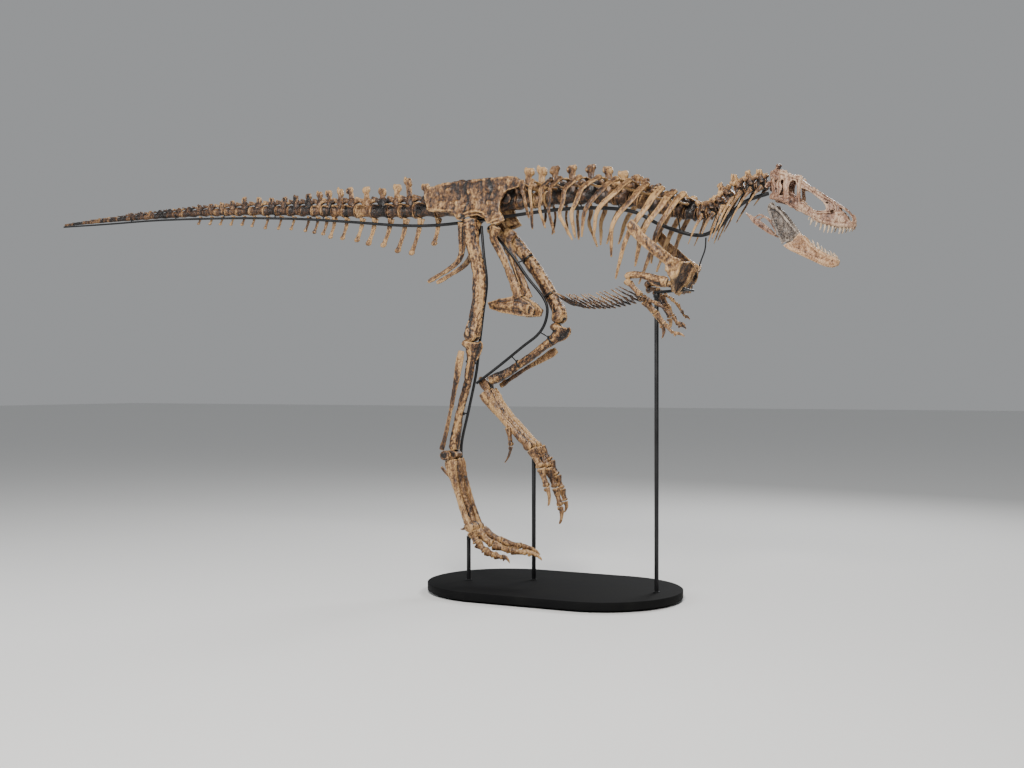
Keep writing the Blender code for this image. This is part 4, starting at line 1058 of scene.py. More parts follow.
# %% Lines of the legs
RIGHT_LEG = {
    "femur": mm("-522 2476, -520 2400, -508 2310, -482 2220, -464 2120, -463 2020, -472 1920, "
                "-492 1820, -506 1740, -508 1690"),
    "knee_y": -0.150, "foot_y": -0.130,
    "tibia": mm("-515 1660, -522 1600, -533 1530, -558 1400, -590 1290, -622 1180, -648 1070, "
                "-666 942"),
    "fibula": mm("-570 1600, -603 1440, -632 1307, -663 1173, -697 1039, -728 938"),
    "ankle": (-0.680, 0.905), "ankle_axis": (1, 0, 0.10),
    "metatarsus": mm("-666 874, -645 790, -612 690, -580 600, -548 510, -508 420"),
    "splint": mm("-742 826, -662 735"),
    "toes": (
        ("4", mm("-507 402, -458 322, -392 275, -318 254, -275 250, -215 236"), 5, 0.048),
        ("3", mm("-494 396, -390 322, -277 292, -195 280, -130 282, -15 260"), 4, 0.000),
        ("2", mm("-478 404, -354 338, -228 308, -150 312, -61 285"), 3, -0.050),
        ("1", mm("-560 440, -610 418, -648 388"), 2, -0.050),
    ),
}
LEFT_LEG = {
    "femur": mm("-500 2465, -415 2395, -338 2325, -265 2240, -205 2165, -150 2085, -98 2005, "
                "-55 1935, -22 1870, -6 1815"),
    "knee_y": 0.145, "foot_y": 0.115,
    "tibia": mm("-2 1765, -22 1714, -66 1671, -122 1634, -205 1572, -310 1508, -405 1450, "
                "-510 1404"),
    "fibula": mm("-60 1610, -175 1545, -265 1496, -365 1436, -475 1366"),
    "ankle": (-0.555, 1.378), "ankle_axis": (0.55, 0, -0.8),
    "metatarsus": mm("-540 1326, -470 1235, -400 1160, -330 1090, -262 1025, -196 960"),
    "toes": (
        ("2", mm("-182 946, -124 850, -92 760, -58 665, -34 578"), 3, -0.050),
        ("3", mm("-172 948, -95 830, -45 725, -12 630, 8 540, 18 450"), 4, 0.000),
        ("4", mm("-166 950, -85 845, -40 750, -8 660, 12 590, 22 520"), 5, 0.050),
        ("1", mm("-356 1088, -340 1020, -330 935, -362 845"), 2, -0.052),
    ),
}
HIP_Y = 0.125
STATIONS = 18   # points on the line of a long bone


def limb(points, y_start, y_end):
    """(x, z) POINTS as a path whose y runs evenly from Y_START to Y_END."""
    last = len(points) - 1
    return [Vector((x, y_start + (y_end - y_start) * k / last, z))
            for k, (x, z) in enumerate(points)]


def thigh_line(s, bones):
    return limb(bones["femur"], s * (HIP_Y + 0.050), bones["knee_y"])


def shin_line(bones):
    return limb(bones["tibia"], bones["knee_y"], bones["foot_y"])


def ahead_of(path, k):
    """The way forwards across PATH in the side view at its point K, and the way along it."""
    last = len(path) - 1
    along = (path[min(k + 1, last)] - path[max(k - 1, 0)]).normalized()
    return crosswise(along), along


# %% [markdown]
# The thigh bone has a ball turned into the hip socket, a raised trochanter on its front edge, a
# ridge for the tail muscle behind, and two rollers at the knee with a groove between them.

# %% Thigh
def femur(s, bones):
    path = smooth_path(thigh_line(s, bones), STATIONS)
    shaft = sweep(path, "0 66 96, 6 82 116, 14 74 108, 24 66 98, 40 62 94, 65 64 95, 80 74 98, "
                        "90 98 102, 100 94 88", sides=12)
    top = path[0]
    parts = [shaft,
             sweep([top + Vector((0.0, s * 0.005, -0.040)), top + Vector((0, -s * 0.035, -0.030)),
                    top + Vector((0, -s * 0.075, -0.030))],
                   "0 70 60, 50 58 52, 100 62 58", side=(1, 0, 0),
                   sides=10),
             knob(top + Vector((0, -s * 0.078, -0.032)), (0.036, 0.030, 0.036))]
    # lesser trochanter on the front, fourth trochanter ridge behind
    forward, along = ahead_of(path, 2)
    parts.append(sweep([path[1] + forward * 0.036 + along * 0.01, path[3] + forward * 0.040,
                        path[5] + forward * 0.022],
                       "0 26 16, 50 26 24, 100 14 12"))
    forward, along = ahead_of(path, 6)
    parts.append(sweep([path[5] - forward * 0.026, path[7] - forward * 0.038,
                        path[9] - forward * 0.024],
                       "0 14 12, 50 18 30, 100 12 10"))
    end = path[-1]
    forward, along = ahead_of(path, STATIONS - 1)
    for y, size in mm("-30 42, 32 46"):
        parts.append(knob(end + across(s * y) - forward * 0.012 - along * 0.014,
                          (size * 1.05, 0.026, size)))
        parts.append(sweep([end + across(s * y) - forward * 0.030 - along * 0.03,
                            end + across(s * y) - forward * 0.020 - along * 0.11],
                           "0 34 36, 100 16 14", count=4))
    parts.append(knob(end + across(s * 0.052) - forward * 0.018 - along * 0.03,
                      (0.018, 0.016, 0.03)))
    return pitted(fuse(parts, 0.0052, 4), 0.0034, 0.030)


# %% [markdown]
# The shin bone carries a crest in front of the knee. Its lower end spreads sideways for the
# ankle.

# %% Shin
def tibia(s, bones):
    path = smooth_path(shin_line(bones), STATIONS)
    shaft = sweep(path, "0 88 122, 5 92 124, 12 72 98, 25 56 70, 45 48 56, 70 50 54, 85 68 62, "
                        "95 102 74, 100 98 64", sides=12)
    forward, along = ahead_of(path, 1)
    crest = sweep([path[0] + forward * 0.046 - along * 0.002, path[1] + forward * 0.060,
                   path[3] + forward * 0.052, path[5] + forward * 0.026],
                  "0 22 36, 35 26 44, 70 18 30, 100 12 12", count=7)
    parts = [shaft, crest]
    for y in (-0.026, 0.026):
        parts.append(knob(path[0] + across(s * y) - forward * 0.034 + along * 0.016,
                          (0.036, 0.024, 0.028)))
    parts.append(sweep([path[4] + across(s * 0.030), path[7] + across(s * 0.026)],
                       "0 14 24, 100 10 14", count=4))
    along = ahead_of(path, STATIONS - 2)[1]
    for y in (-0.034, 0.036):
        parts.append(knob(path[-1] + across(s * y) - along * 0.018,
                          (0.028, 0.016, 0.030)))
    return pitted(fuse(parts, 0.0050, 4), 0.0030, 0.028)


def fibula(s, bones):
    shift = s * 0.060
    path = limb(bones["fibula"], bones["knee_y"] + shift, bones["foot_y"] + shift * 1.05)
    bar = sweep(smooth_path(path, 16), "0 18 44, 6 24 62, 14 22 56, 30 19 42, 60 17 28, 88 20 32, "
                                       "97 28 50, 100 20 34", sides=10)
    return pitted(fuse([bar], 0.0042, 2), 0.0020, 0.022)


# %% Ankle
def ankle(s, bones):
    """The roller under the shin with the plate that rises in front of it, and the heel disc."""
    x, z = bones["ankle"]
    axis = Vector(bones["ankle_axis"]).normalized()
    up = crosswise(axis)
    if up.z < 0:
        up = -up
    middle = Vector((x, bones["foot_y"] + s * 0.012, z))
    roll = [middle + across(s * y) for y in (-0.046, -0.040, -0.012, 0.014, 0.034, 0.040)]
    parts = [sweep(roll, "0 90 44, 20 124 66, 50 104 56, 80 124 66, "
                         "100 90 48", side=axis, sides=14),
             sweep([middle + axis * 0.026 + up * 0.01, middle + axis * 0.020 + up * 0.075],
                   "0 60 18, 100 16 10", count=4)]
    roller = pitted(fuse(parts, 0.0044, 3), 0.0026, 0.022)
    heel = sweep([middle + across(s * y) - axis * 0.018 for y in (0.044, 0.050, 0.064, 0.070)],
                 "0 60 48, 30 84 66, 70 84 66, 100 58 46",
                 side=axis, sides=12)
    return roller, pitted(fuse([heel], 0.0040, 2), 0.0022, 0.020)


# %% [markdown]
# Three long foot bones stand side by side, clamped together at the top. Each ends below in a
# roller with a groove. A thin splint lies behind them.

# %% Foot bones
def metatarsal(path, top, waist, low):
    shaft = sweep(path, ((0, 0.044 * top, 0.092), (0.06, 0.048 * top, 0.106),
                         (0.16, 0.040, 0.076), (0.35, 0.034 * waist, 0.050),
                         (0.6, 0.034 * waist, 0.042), (0.82, 0.040, 0.048), (1, 0.042, 0.054)),
                  sides=10)
    end = path[-1]
    along = ahead_of(path, len(path) - 1)[1]
    parts = [shaft]
    for y in (-0.0115, 0.0115):
        parts.append(knob(end + across(y) - along * 0.008, (0.036 * low, 0.014, 0.036 * low)))
    parts.append(knob(end - along * 0.012, (0.030 * low, 0.022, 0.030 * low)))
    return pitted(fuse(parts, 0.0042, 3), 0.0026, 0.024)


# %% [markdown]
# Toe and finger bones repeat one form: a hollow base, a waist and a double roller. The form is
# modelled once at unit length and copied to every joint, scaled to each. So is the claw.

# %% One toe bone and one claw
def phalanx_form():
    shaft = sweep("0 0 0, 30 0 0, 200 0 0, 500 0 -10, 740 0 -5, 880 0 0",
                  "0 360 380, 20 440 460, 40 360 400, 60 250 270, 80 280 270, "
                  "100 300 280", sides=12)
    parts = [shaft]
    for y in (-0.095, 0.095):
        parts.append(knob((0.875, y, 0.0), (0.125, 0.075, 0.165)))
    parts.append(knob((0.07, 0, 0.16), (0.09, 0.13, 0.06)))
    parts.append(knob((0.09, 0, -0.16), (0.10, 0.15, 0.05)))
    return fuse(parts, 0.030, 2)


def claw_form():
    """A claw of unit length along +x that curves down to its point."""
    body = sweep("0 0 0, 60 0 10, 250 0 35, 500 0 20, 750 0 -65, 920 0 -170, 1000 0 -260",
                 "0 200 360, 10 240 420, 30 200 340, 55 150 250, 80 90 150, 95 40 70, "
                 "100 15 20", sides=12, count=16)
    heel = knob((0.10, 0, -0.17), (0.11, 0.085, 0.09))
    return fuse([body, heel], 0.020, 2)


phalanx = phalanx_form()
claw = claw_form()


def between(start, end, width, height):
    """The matrix that lays a form of unit length from START to END, its back to the front."""
    along = end - start
    ahead = along.normalized()
    side = crosswise(along).cross(ahead)
    side.normalize()
    over = ahead.cross(side)
    axes = Matrix((ahead * along.length, side * width, over * height)).transposed().to_4x4()
    return Matrix.Translation(start) @ axes


def chain(name, path, count, first, last, nodes=(), claw_size=1.0, tone=0.4):
    """COUNT bones along PATH, the last one a claw. Their size runs from FIRST to LAST."""
    spots = smooth_path(path, 4 * count + 1)
    run = run_along(spots)
    lengths = np.array([1.15 - 0.10 * k for k in range(count)])
    ends = np.concatenate(([0], np.cumsum(lengths))) / lengths.sum() * run[-1]

    def at(distance):
        return Vector([np.interp(distance, run, [p[i] for p in spots]) for i in range(3)])

    for k in range(count):
        start, end = at(ends[k]), at(ends[k + 1])
        size = first + (last - first) * k / max(count - 1, 1)
        gap = (end - start).normalized() * 0.0012
        if k + 1 < count:
            piece = copy_of(phalanx, between(start + gap, end - gap, size, size * 1.06))
        else:
            piece = copy_of(claw, between(start + gap, end, size * claw_size, size * claw_size))
        piece = pitted(piece, 0.0004 + 0.014 * size, 0.016)
        done(piece, f"{name}_{k + 1}", "bone", nodes if k == 0 else (), tone)


# %% Both legs
for s, side, bones in ((-1, "right", RIGHT_LEG), (1, "left", LEFT_LEG)):
    foot = bones["foot_y"]
    done(femur(s, bones), f"thigh_bone_{side}", "bone", [f"femur_{side}"],
         streaked(thigh_line(s, bones), 0.40, 0.26))
    done(tibia(s, bones), f"shin_bone_{side}", "bone", [f"tibia_{side}"],
         streaked(shin_line(bones), 0.46, 0.26))
    done(fibula(s, bones), f"calf_bone_{side}", "bone", [f"fibula_{side}"],
         lambda place: np.interp(place[:, 2], (1.1, 1.5), (0.55, 0.22)))
    roller, heel = ankle(s, bones)
    done(roller, f"ankle_roller_{side}", "bone", [f"ankle_{side}"], tone=0.56)
    done(heel, f"ankle_disc_{side}", "bone", tone=0.50)
    for label, y, top, shift in (("2", -0.043, 0.92, 0.019), ("3", 0.0, 0.75, 0.001),
                                 ("4", 0.043, 0.92, -0.019)):
        shift *= -1.0 if s < 0 else 1.1
        path = smooth_path(limb([(x - shift * (0.5 + 0.5 * math.sin(math.pi * k / 5)), z)
                                 for k, (x, z) in enumerate(bones["metatarsus"])],
                                foot + s * 0.86 * y, foot + s * 1.16 * y), 12)
        done(metatarsal(path, top, 1.0 if label != "3" else 1.15, 1.05 if label == "3" else 0.95),
             f"foot_bone_{label}_{side}", "bone", [f"metatarsus_{side}"] if label == "3" else (),
             streaked(path, {"2": 0.34, "3": 0.44, "4": 0.16}[label], 0.16))
    if "splint" in bones:
        y = foot + s * 0.048
        splint = sweep(limb(bones["splint"], y, y - s * 0.014),
                       "0 12 20, 20 16 28, 70 12 18, 100 7 9", count=8)
        done(pitted(rounded(splint), 0.0012, 0.015), f"foot_splint_{side}", "bone",
             tone=0.35)
    for label, points, count, spread in bones["toes"]:
        root = foot + s * spread
        size = 0.165 if count > 2 else 0.105
        chain(f"toe_{label}_bone_{side}", limb(points, root, root + s * spread * 0.35), count,
              size, size * 0.60, [f"toe_{label}_{side}"],
              tone=0.30 if side == "right" else 0.38)
print("legs done", len(made_pieces))

# %% [markdown]
# ## Shoulders and arms
#
# The shoulder blade is a long strap that meets a rounded coracoid. The arm hangs folded: upper
# arm back, short forearm forward, three clawed fingers spread below.

# %% Lines of the arms
SCAPULA_OUTLINE = mm("618 2346, 650 2396, 695 2352, 735 2297, 847 2203, 900 2158, 945 2138, "
                     "938 2060, 900 2018, 882 2036, 866 2098, 815 2143, 764 2186, 700 2240, "
                     "640 2306")
CORACOID_OUTLINE = mm("973 50 2135, 940 42 2066, 890 42 1995, 848 50 1946, 866 120 1955, "
                      "884 195 2010, 908 225 2070, 940 170 2128")
SHOULDER_SPREAD = mm("600 285, 800 272, 900 230, 950 205")
HUMERUS_PATH = mm("875 262 1994, 815 260 2012, 745 254 2038, 675 246 2052, 610 240 2050")
FOREARM_PATH = mm("614 238 2012, 650 236 1975, 697 230 1928")
WRIST_X = 0.700
FINGERS = (
    (mm("700 198 1890, 757 190 1826, 812 188 1768, 834 188 1662"), 3, 0.017),
    (mm("728 222 1890, 811 220 1792, 872 218 1714, 905 218 1685, 972 218 1683"), 4, 0.016),
    (mm("738 248 1902, 845 250 1850, 900 250 1795, 948 250 1744, 990 250 1742"), 5, 0.013),
)


def sheet_of(points, thickness):
    """A thin plate whose face runs through POINTS in space."""
    body = new_mesh("sheet")
    bpy.ops.object.mode_set(mode="EDIT")
    bpy.ops.mesh.primitive_circle_add(vertices=len(points), radius=1, fill_type="TRIFAN")
    bpy.ops.object.mode_set(mode="OBJECT")
    middle = sum((Vector(p) for p in points), Vector()) / len(points)
    spots = sorted(body.data.vertices, key=lambda v: v.co.length)
    for vertex in body.data.vertices:
        if vertex is spots[0] or vertex.co.length < 0.5:
            vertex.co = middle
        else:
            turn = math.atan2(vertex.co.y, vertex.co.x) / (2 * math.pi) % 1.0
            vertex.co = points[round(turn * len(points)) % len(points)]
    wall = body.modifiers.new("wall", "SOLIDIFY")
    wall.thickness = thickness
    wall.offset = 0
    return apply_all(body)


# %% Shoulder girdle and arms
def build_arm(s, side, elbow_shift, hand_shift, hand_reach):
    """One arm. The shifts are (x, z) steps from the drawn lines; HAND_REACH shortens the hand."""
    set_back = 0.28 * elbow_shift[0]
    strap = blade([(x + set_back, z) for x, z in SCAPULA_OUTLINE], 0.016)
    ridge, lip = ([(x + set_back, z) for x, z in mm(line)] for line in
                  ("655 2360, 740 2255, 860 2140", "868 2100, 885 2045, 905 2022"))
    rims = [flat_bar(ridge, "0 16 40, 60 24 34, 100 40 60"),
            flat_bar(lip, "0 24 30, 100 34 30")]
    bumps = [knob((x + set_back, 0, z), (0.026, 0.018, 0.022)) for x, z in
             mm("645 2352, 895 2125, 880 2075, 905 2045, 845 2155")]
    strap = fuse([strap] + rims + bumps, 0.0042, 3)
    strap = bent(strap, lambda p: Vector((
        p.x, p.y + s * table(SHOULDER_SPREAD, p.x - set_back), p.z)))
    edge = [Vector((x + set_back, y * s, z)) for x, y, z in CORACOID_OUTLINE]
    plate = sheet_of(edge, 0.014)
    rims = [sweep(edge[:4], "0 24 34, 40 28 50, 100 26 40", count=8),
            sweep([edge[4], edge[5], edge[6]], "0 24 24, 100 34 34", count=6)]
    # the coracoid plate between its rims, 90 to 170 mm out, is darkened as painted shade
    done(pitted(fuse([strap, plate] + rims, 0.0045, 3), 0.0028, 0.025),
         f"shoulder_blade_{side}", "bone", [f"scapula_{side}"],
         lambda place: np.interp(abs(place[:, 1]), (0.055, 0.09, 0.17, 0.22),
                                 (0.26, 0.52, 0.52, 0.32)))

    def moved(points, first, last):
        shifts = np.linspace(first, last, len(points))
        return [Vector((x + dx, y * s, z + dz)) for (x, y, z), (dx, dz) in zip(points, shifts)]

    upper = smooth_path(moved(HUMERUS_PATH, (set_back, 0.0), elbow_shift), 14)
    shaft = sweep(upper, "0 42 62, 8 54 72, 25 42 64, 45 36 48, 70 36 43, 88 52 47, 100 48 42",
                  sides=10)
    crest = sweep([upper[k] + Vector((0, s * y, z)) for k, y, z in
                   ((1, 0.008, -0.026), (4, 0.010, -0.032), (6, 0.004, -0.016))],
                  "0 14 16, 50 14 24, 100 10 12", count=6)
    ends = [knob(upper[-1] + Vector((0.006, y, -0.004)), (0.020, 0.015, 0.020))
            for y in (-0.014, 0.014)]
    done(pitted(fuse([shaft, crest] + ends, 0.0038, 3), 0.0022, 0.020),
         f"upper_arm_{side}", "bone", [f"humerus_{side}"], streaked(upper, 0.38, 0.18))

    lower = moved(FOREARM_PATH, elbow_shift, hand_shift)
    for bone, offset, size in (("radius", -0.018, 0.024), ("ulna", 0.018, 0.028)):
        path = [p + across(s * offset) for p in lower]
        if bone == "ulna":
            path[0] = path[0] + (path[0] - path[1]).normalized() * 0.010
        bar = sweep(path, ((0, size * 1.3, size * 1.5), (0.1, size * 1.6, size * 1.8),
                           (0.35, size * 1.0, size * 1.05), (0.7, size * 0.9, size * 0.95),
                           (0.92, size * 1.25, size * 1.35), (1, size, size)), count=12, sides=10)
        done(pitted(fuse([bar], 0.0034, 2), 0.0016, 0.016), f"forearm_{bone}_{side}", "bone",
             [f"{bone}_{side}"], 0.34)

    for number, (points, count, size) in enumerate(FINGERS, 1):
        folded = [(WRIST_X + (x - WRIST_X) * hand_reach, y, z) for x, y, z in points]
        path = moved(folded, hand_shift, hand_shift)
        chain(f"finger_{number}_bone_{side}", path, count, size * 5.4, size * 3.9,
              [f"hand_{side}"] if number == 1 else (),
              claw_size=1.25 if number == 1 else 1.1, tone=0.40)
        wrist_bone = knob(path[0] + Vector((-0.014, 0, 0.014)), (size * 1.3, size * 1.1, size))
        done(pitted(rounded(wrist_bone, 1), 0.0016, 0.01), f"wrist_bone_{number}_{side}", "bone",
             tone=0.45)


build_arm(-1, "right", (0.0, 0.0), (0.0, 0.0), 1.0)
build_arm(1, "left", (-0.045, -0.015), (-0.045, 0.065), 0.70)

# %% Wishbone
wishbone = sweep("962 -118 2150, 985 -60 2105, 985 0 2078, 985 60 2105, 962 118 2150",
                 "0 8 10, 10 12 16, 50 16 20, 90 12 16, 100 8 10", side=(1, 0, 0), count=17)
done(pitted(rounded(wishbone), 0.0010, 0.015), "wishbone", "bone", ["furcula"], 0.10)
print("arms done", len(made_pieces))

# %% The forms have been copied everywhere they are needed
for form in (phalanx, claw):
    bpy.data.objects.remove(form)

# %% [markdown]
# ## Head
#
# The skull is a frame of struts round large openings, two side walls that meet in a narrow roof.
# A wall is drawn flat, its openings are cut out, thick struts and lumps are laid on it, and all
# of it is fused and then bent to the head's width. The other wall is its mirror image.

# %% Width of the head
UPPER_EDGE = mm("1450 2655, 1480 2680, 1540 2652, 1632 2612, 1700 2548, 1816 2473, 1890 2424, "
                "1930 2378, 1946 2325")
LOWER_EDGE = mm("1450 2500, 1490 2484, 1530 2466, 1575 2446, 1620 2414, 1682 2382, 1746 2336, "
                "1816 2312, 1914 2290, 1946 2282")


def half_width(x, z):
    wide = table(mm("1448 66, 1523 83, 1647 75, 1797 51, 1921 33, 1946 16"), x)
    low, high = table(LOWER_EDGE, x), table(UPPER_EDGE, x)
    share = min(1.0, max(0.0, (z - low) / (high - low)))
    return wide * (1.0 - 0.42 * share ** 2)


# %% Openings
WALL = mm("1452 2655, 1480 2672, 1513 2665, 1544 2655, 1567 2634, 1618 2614, 1636 2610, "
          "1650 2583, 1676 2556, 1702 2545, 1727 2526, 1760 2506, 1809 2471, 1863 2431, "
          "1905 2402, 1930 2372, 1943 2325, 1941 2287, 1919 2296, 1866 2302, 1813 2314, "
          "1760 2330, 1717 2348, 1693 2368, 1668 2388, 1633 2403, 1612 2420, 1581 2430, "
          "1558 2449, 1525 2468, 1483 2483, 1458 2494, 1454 2515, 1470 2530, 1464 2570, "
          "1454 2610, 1447 2640")
ORBIT = mm("1573 2505, 1582 2497, 1608 2488, 1617 2494, 1614 2573, 1608 2588, 1592 2595, "
           "1577 2585, 1570 2560")
TEMPORAL = mm("1511 2506, 1539 2503, 1536 2600, 1522 2602, 1520 2583, 1530 2560, 1528 2540, "
              "1519 2522")
ANTORBITAL = mm("1638 2543, 1657 2538, 1678 2528, 1700 2510, 1735 2482, 1765 2455, 1780 2430, "
                "1784 2412, 1775 2403, 1743 2402, 1712 2408, 1700 2424, 1682 2428, 1673 2440, "
                "1652 2461, 1638 2459")
NARIS = mm("1852 2424, 1880 2408, 1912 2380, 1930 2352, 1930 2334, 1918 2336, 1896 2368, "
           "1870 2398")


def round_hole(x, z, radius, count=10):
    return [(x + radius * math.cos(2 * math.pi * k / count),
             z + radius * math.sin(2 * math.pi * k / count)) for k in range(count)]


def cut_out(body, openings):
    """BODY less a hole through it for each outline."""
    cutters = [blade(outline, 0.2) for outline in openings]
    for cutter in cutters:
        hole = body.modifiers.new("hole", "BOOLEAN")
        hole.operation = "DIFFERENCE"
        hole.solver = "EXACT"
        hole.object = cutter
    apply_all(body)
    for cutter in cutters:
        bpy.data.objects.remove(cutter)
    return body


# %% One wall, drawn flat
wall = cut_out(blade(WALL, 0.010), [ORBIT, TEMPORAL, ANTORBITAL, NARIS])
OUT = -0.003   # struts and lumps lie a little outside the plate
struts = [
    flat_bar("1631 2600, 1628 2545, 1628 2480, 1634 2425",
             "0 18 24, 40 18 14, 80 18 16, 100 14 24", OUT),
    flat_bar("1556 2628, 1557 2575, 1553 2515, 1550 2462",
             "0 22 36, 40 20 22, 70 20 22, 100 16 40", OUT),
    flat_bar("1500 2652, 1550 2634, 1600 2614, 1640 2596",
             "0 22 22, 50 26 22, 100 22 18", OUT),
    flat_bar("1645 2580, 1700 2537, 1760 2494, 1810 2462, 1850 2432",
             "0 18 18, 30 20 20, 70 16 13, 100 12 10", OUT),
    flat_bar("1468 2640, 1474 2600, 1486 2560, 1486 2525, 1472 2496",
             "0 20 24, 40 22 16, 70 22 18, 100 20 22", OUT),
    flat_bar("1502 2636, 1507 2600, 1499 2566, 1504 2530, 1498 2500",
             "0 16 22, 35 18 12, 70 18 16, 100 16 18", OUT),
    flat_bar("1936 2375, 1944 2345, 1943 2305",
             "0 8 8, 100 12 14"),
    flat_bar("1465 2496, 1530 2482, 1580 2462, 1630 2436, 1680 2406",
             "0 18 22, 40 14 22, 70 16 40, 100 16 22", OUT),
    flat_bar("1690 2378, 1760 2342, 1840 2318, 1930 2306",
             "0 18 14, 40 24 22, 100 20 24", OUT + 0.002),
    flat_bar("1700 2400, 1750 2390, 1800 2388, 1834 2396, 1838 2420, 1822 2446",
             "0 8 8, 50 10 6, 100 6 5", OUT - 0.004),
    flat_bar("1600 2482, 1570 2498, 1566 2550, 1578 2594, 1606 2594, 1620 2560",
             "0 12 8, 50 14 8, 100 10 7", OUT - 0.002),
]
LUMPS = mm("1493 2512 17, 1464 2500 13, 1478 2630 20, 1462 2648 14, 1500 2620 17, 1514 2648 14, "
           "1546 2648 11, 1634 2602 14, 1712 2538 10, 1652 2433 14, 1685 2420 10, 1590 2470 18")
lumps = [knob((x, OUT, z), (r, r * 0.75, r * 1.15)) for x, z, r in LUMPS]
lumps.append(knob((1.850, OUT + 0.002, 2.355), (0.060, 0.010, 0.034)))
lumps.append(knob((1.922, OUT + 0.003, 2.312), (0.020, 0.012, 0.020)))
lumps += [knob((x, OUT - 0.001, z), (0.030, 0.008, 0.014)) for x, z in
          mm("1712 2380, 1745 2366, 1785 2352, 1830 2342, 1872 2338, 1858 2385")]


def to_wall(p):
    return Vector((p.x, p.y - half_width(p.x, p.z), p.z))


def wall_tone(place):
    """Pale muzzle, reddish dark cheek."""
    cheek = np.exp(-((place[:, 0] - 1.565) / 0.055) ** 2 - ((place[:, 2] - 2.468) / 0.028) ** 2)
    back = np.exp(-((place[:, 0] - 1.475) / 0.030) ** 2 - ((place[:, 2] - 2.650) / 0.030) ** 2)
    return 0.30 + 0.24 * cheek + 0.20 * back + 0.08 * np.sin(60.0 * place[:, 0])


pierced = cut_out(fuse([wall] + struts + lumps, 0.0028, 2),
                  [round_hole(1.789, 2.449, 0.0075), round_hole(1.817, 2.396, 0.0115),
                   round_hole(1.490, 2.596, 0.0070), round_hole(1.495, 2.548, 0.0050)])
right_wall = bent(pitted(pierced, 0.0014, 0.014), to_wall)
left_wall = mirror_copy(right_wall)
done(right_wall, "skull_wall_right", "skull", ["skull"], tone=wall_tone)
done(left_wall, "skull_wall_left", "skull", tone=wall_tone)

# %% [markdown]
# Between the walls lie the roof, the knobbly braincase with the ball that turns on the neck, the
# wings behind it, and the thin bones of the palate.

# %% Roof, braincase and palate
roof_path = mm("1500 0 2652, 1550 0 2634, 1630 0 2600, 1700 0 2540, 1816 0 2462, 1890 0 2410, "
               "1930 0 2362, 1936 0 2312")
ABOVE_ALL = 9.9   # a height past the head's top, where it is narrowest
roof_sizes = []
for k, (x, _, _) in enumerate(roof_path):
    share = k / (len(roof_path) - 1)
    width = 1.16 * half_width(x, ABOVE_ALL) / 0.58
    roof_sizes.append((share, width * (0.92 if share < 0.65 else 0.40), 0.013))
roof = sweep(roof_path, roof_sizes, sides=12, count=18)
crown = [knob((1.600, y, 2.622), (0.040, 0.018, 0.010)) for y in (-0.022, 0.022)]
ridge = sweep("1720 0 2530, 1780 0 2490, 1860 0 2437", "0 10 14, 50 12 12, 100 8 8", count=6)
done(pitted(fuse([roof, ridge] + crown, 0.0034, 3), 0.0016, 0.016), "skull_roof", "skull",
     tone=0.36)

case = knobs("1505 0 2585 50 34 42, 1545 0 2600 40 28 30, 1455 0 2560 18 18 17, "
             "1500 0 2535 30 22 30")
case.append(sweep("1470 0 2620, 1478 0 2660, 1496 0 2700", "0 100 50, 50 85 34, 100 55 20",
                  count=5))
case += knobs("1497 12 2700 12 16 10, 1488 -14 2698 12 14 10")
case.append(sweep("1490 0 2655, 1515 0 2662, 1535 0 2650", "0 90 30, 50 60 22, 100 50 20",
                  count=5))
for s in (1, -1):
    case += [sweep(on_side("1478 15 2595, 1462 50 2588, 1442 78 2572, 1436 86 2556", s),
                   "0 40 30, 50 34 18, 100 20 12", side=(0, 0, 1), count=7),
             sweep(on_side("1480 30 2650, 1470 62 2640, 1470 70 2610", s),
                   "0 30 30, 100 20 20", count=5),
             sweep(on_side("1520 20 2530, 1500 50 2500, 1487 66 2492", s),
                   "0 30 20, 100 20 14", count=5),
             sweep(on_side("1535 18 2545, 1600 22 2500, 1660 28 2455", s),
                   "0 20 18, 50 10 22, 100 8 14", count=6)]
done(pitted(fuse(case, 0.0034, 3), 0.0028, 0.014), "skull_braincase", "skull", tone=0.55)

palate = [sweep(on_side("1640 40 2440, 1720 32 2392, 1800 24 2352, 1900 10 2318", s),
                "0 14 8, 50 26 7, 100 20 8", count=8) for s in (1, -1)]
palate.append(sweep("1700 0 2415, 1800 0 2372, 1910 0 2325", "0 6 12, 100 12 8", count=6))
done(pitted(fuse(palate, 0.0034, 2), 0.0010, 0.012), "skull_palate", "skull", tone=0.6)

# %% [markdown]
# Teeth are curved flattened cones. One is shaped and copied, longest in the middle of the row.

# %% Teeth
tooth = rounded(sweep("0 0 60, 10 0 -100, -10 0 -350, -80 0 -650, -190 0 -920, -235 0 -1000",
                      "0 220 340, 20 230 360, 50 170 280, 80 100 160, 100 30 40", count=8), 1)
UPPER_TEETH = mm("1688 2366 16, 1702 2358 38, 1731 2345 36, 1757 2336 48, 1779 2329 56, "
                 "1801 2323 54, 1822 2316 48, 1841 2309 14, 1864 2306 46, 1884 2302 40, "
                 "1905 2298 16, 1921 2296 24")


BROAD_TOOTH, FAR_SIDE = 0.045, 0.72   # the far row is worn shorter


def tooth_at(x, y, z, length, way):
    """A tooth LENGTH long with its root at X, Y, Z, up for WAY = -1 and down for 1."""
    width = BROAD_TOOTH * (0.55 + 0.45 * min(1.0, length / 0.045))
    twin = copy_of(tooth, Matrix.Translation((x, y, z))
                   @ Matrix.Diagonal((width, width, way * length, 1)))
    if way < 0:
        twin.data.flip_normals()
    return twin


for s, side in SIDES:
    row = [tooth_at(x + 0.003 * (s > 0) * (k % 2), s * (half_width(x, z) - 0.002), z,
                    length * (1.0 if s < 0 else FAR_SIDE), 1)
           for k, (x, z, length) in enumerate(UPPER_TEETH)]
    done(joined(row), f"upper_teeth_{side}", "tooth", tone=0.5)

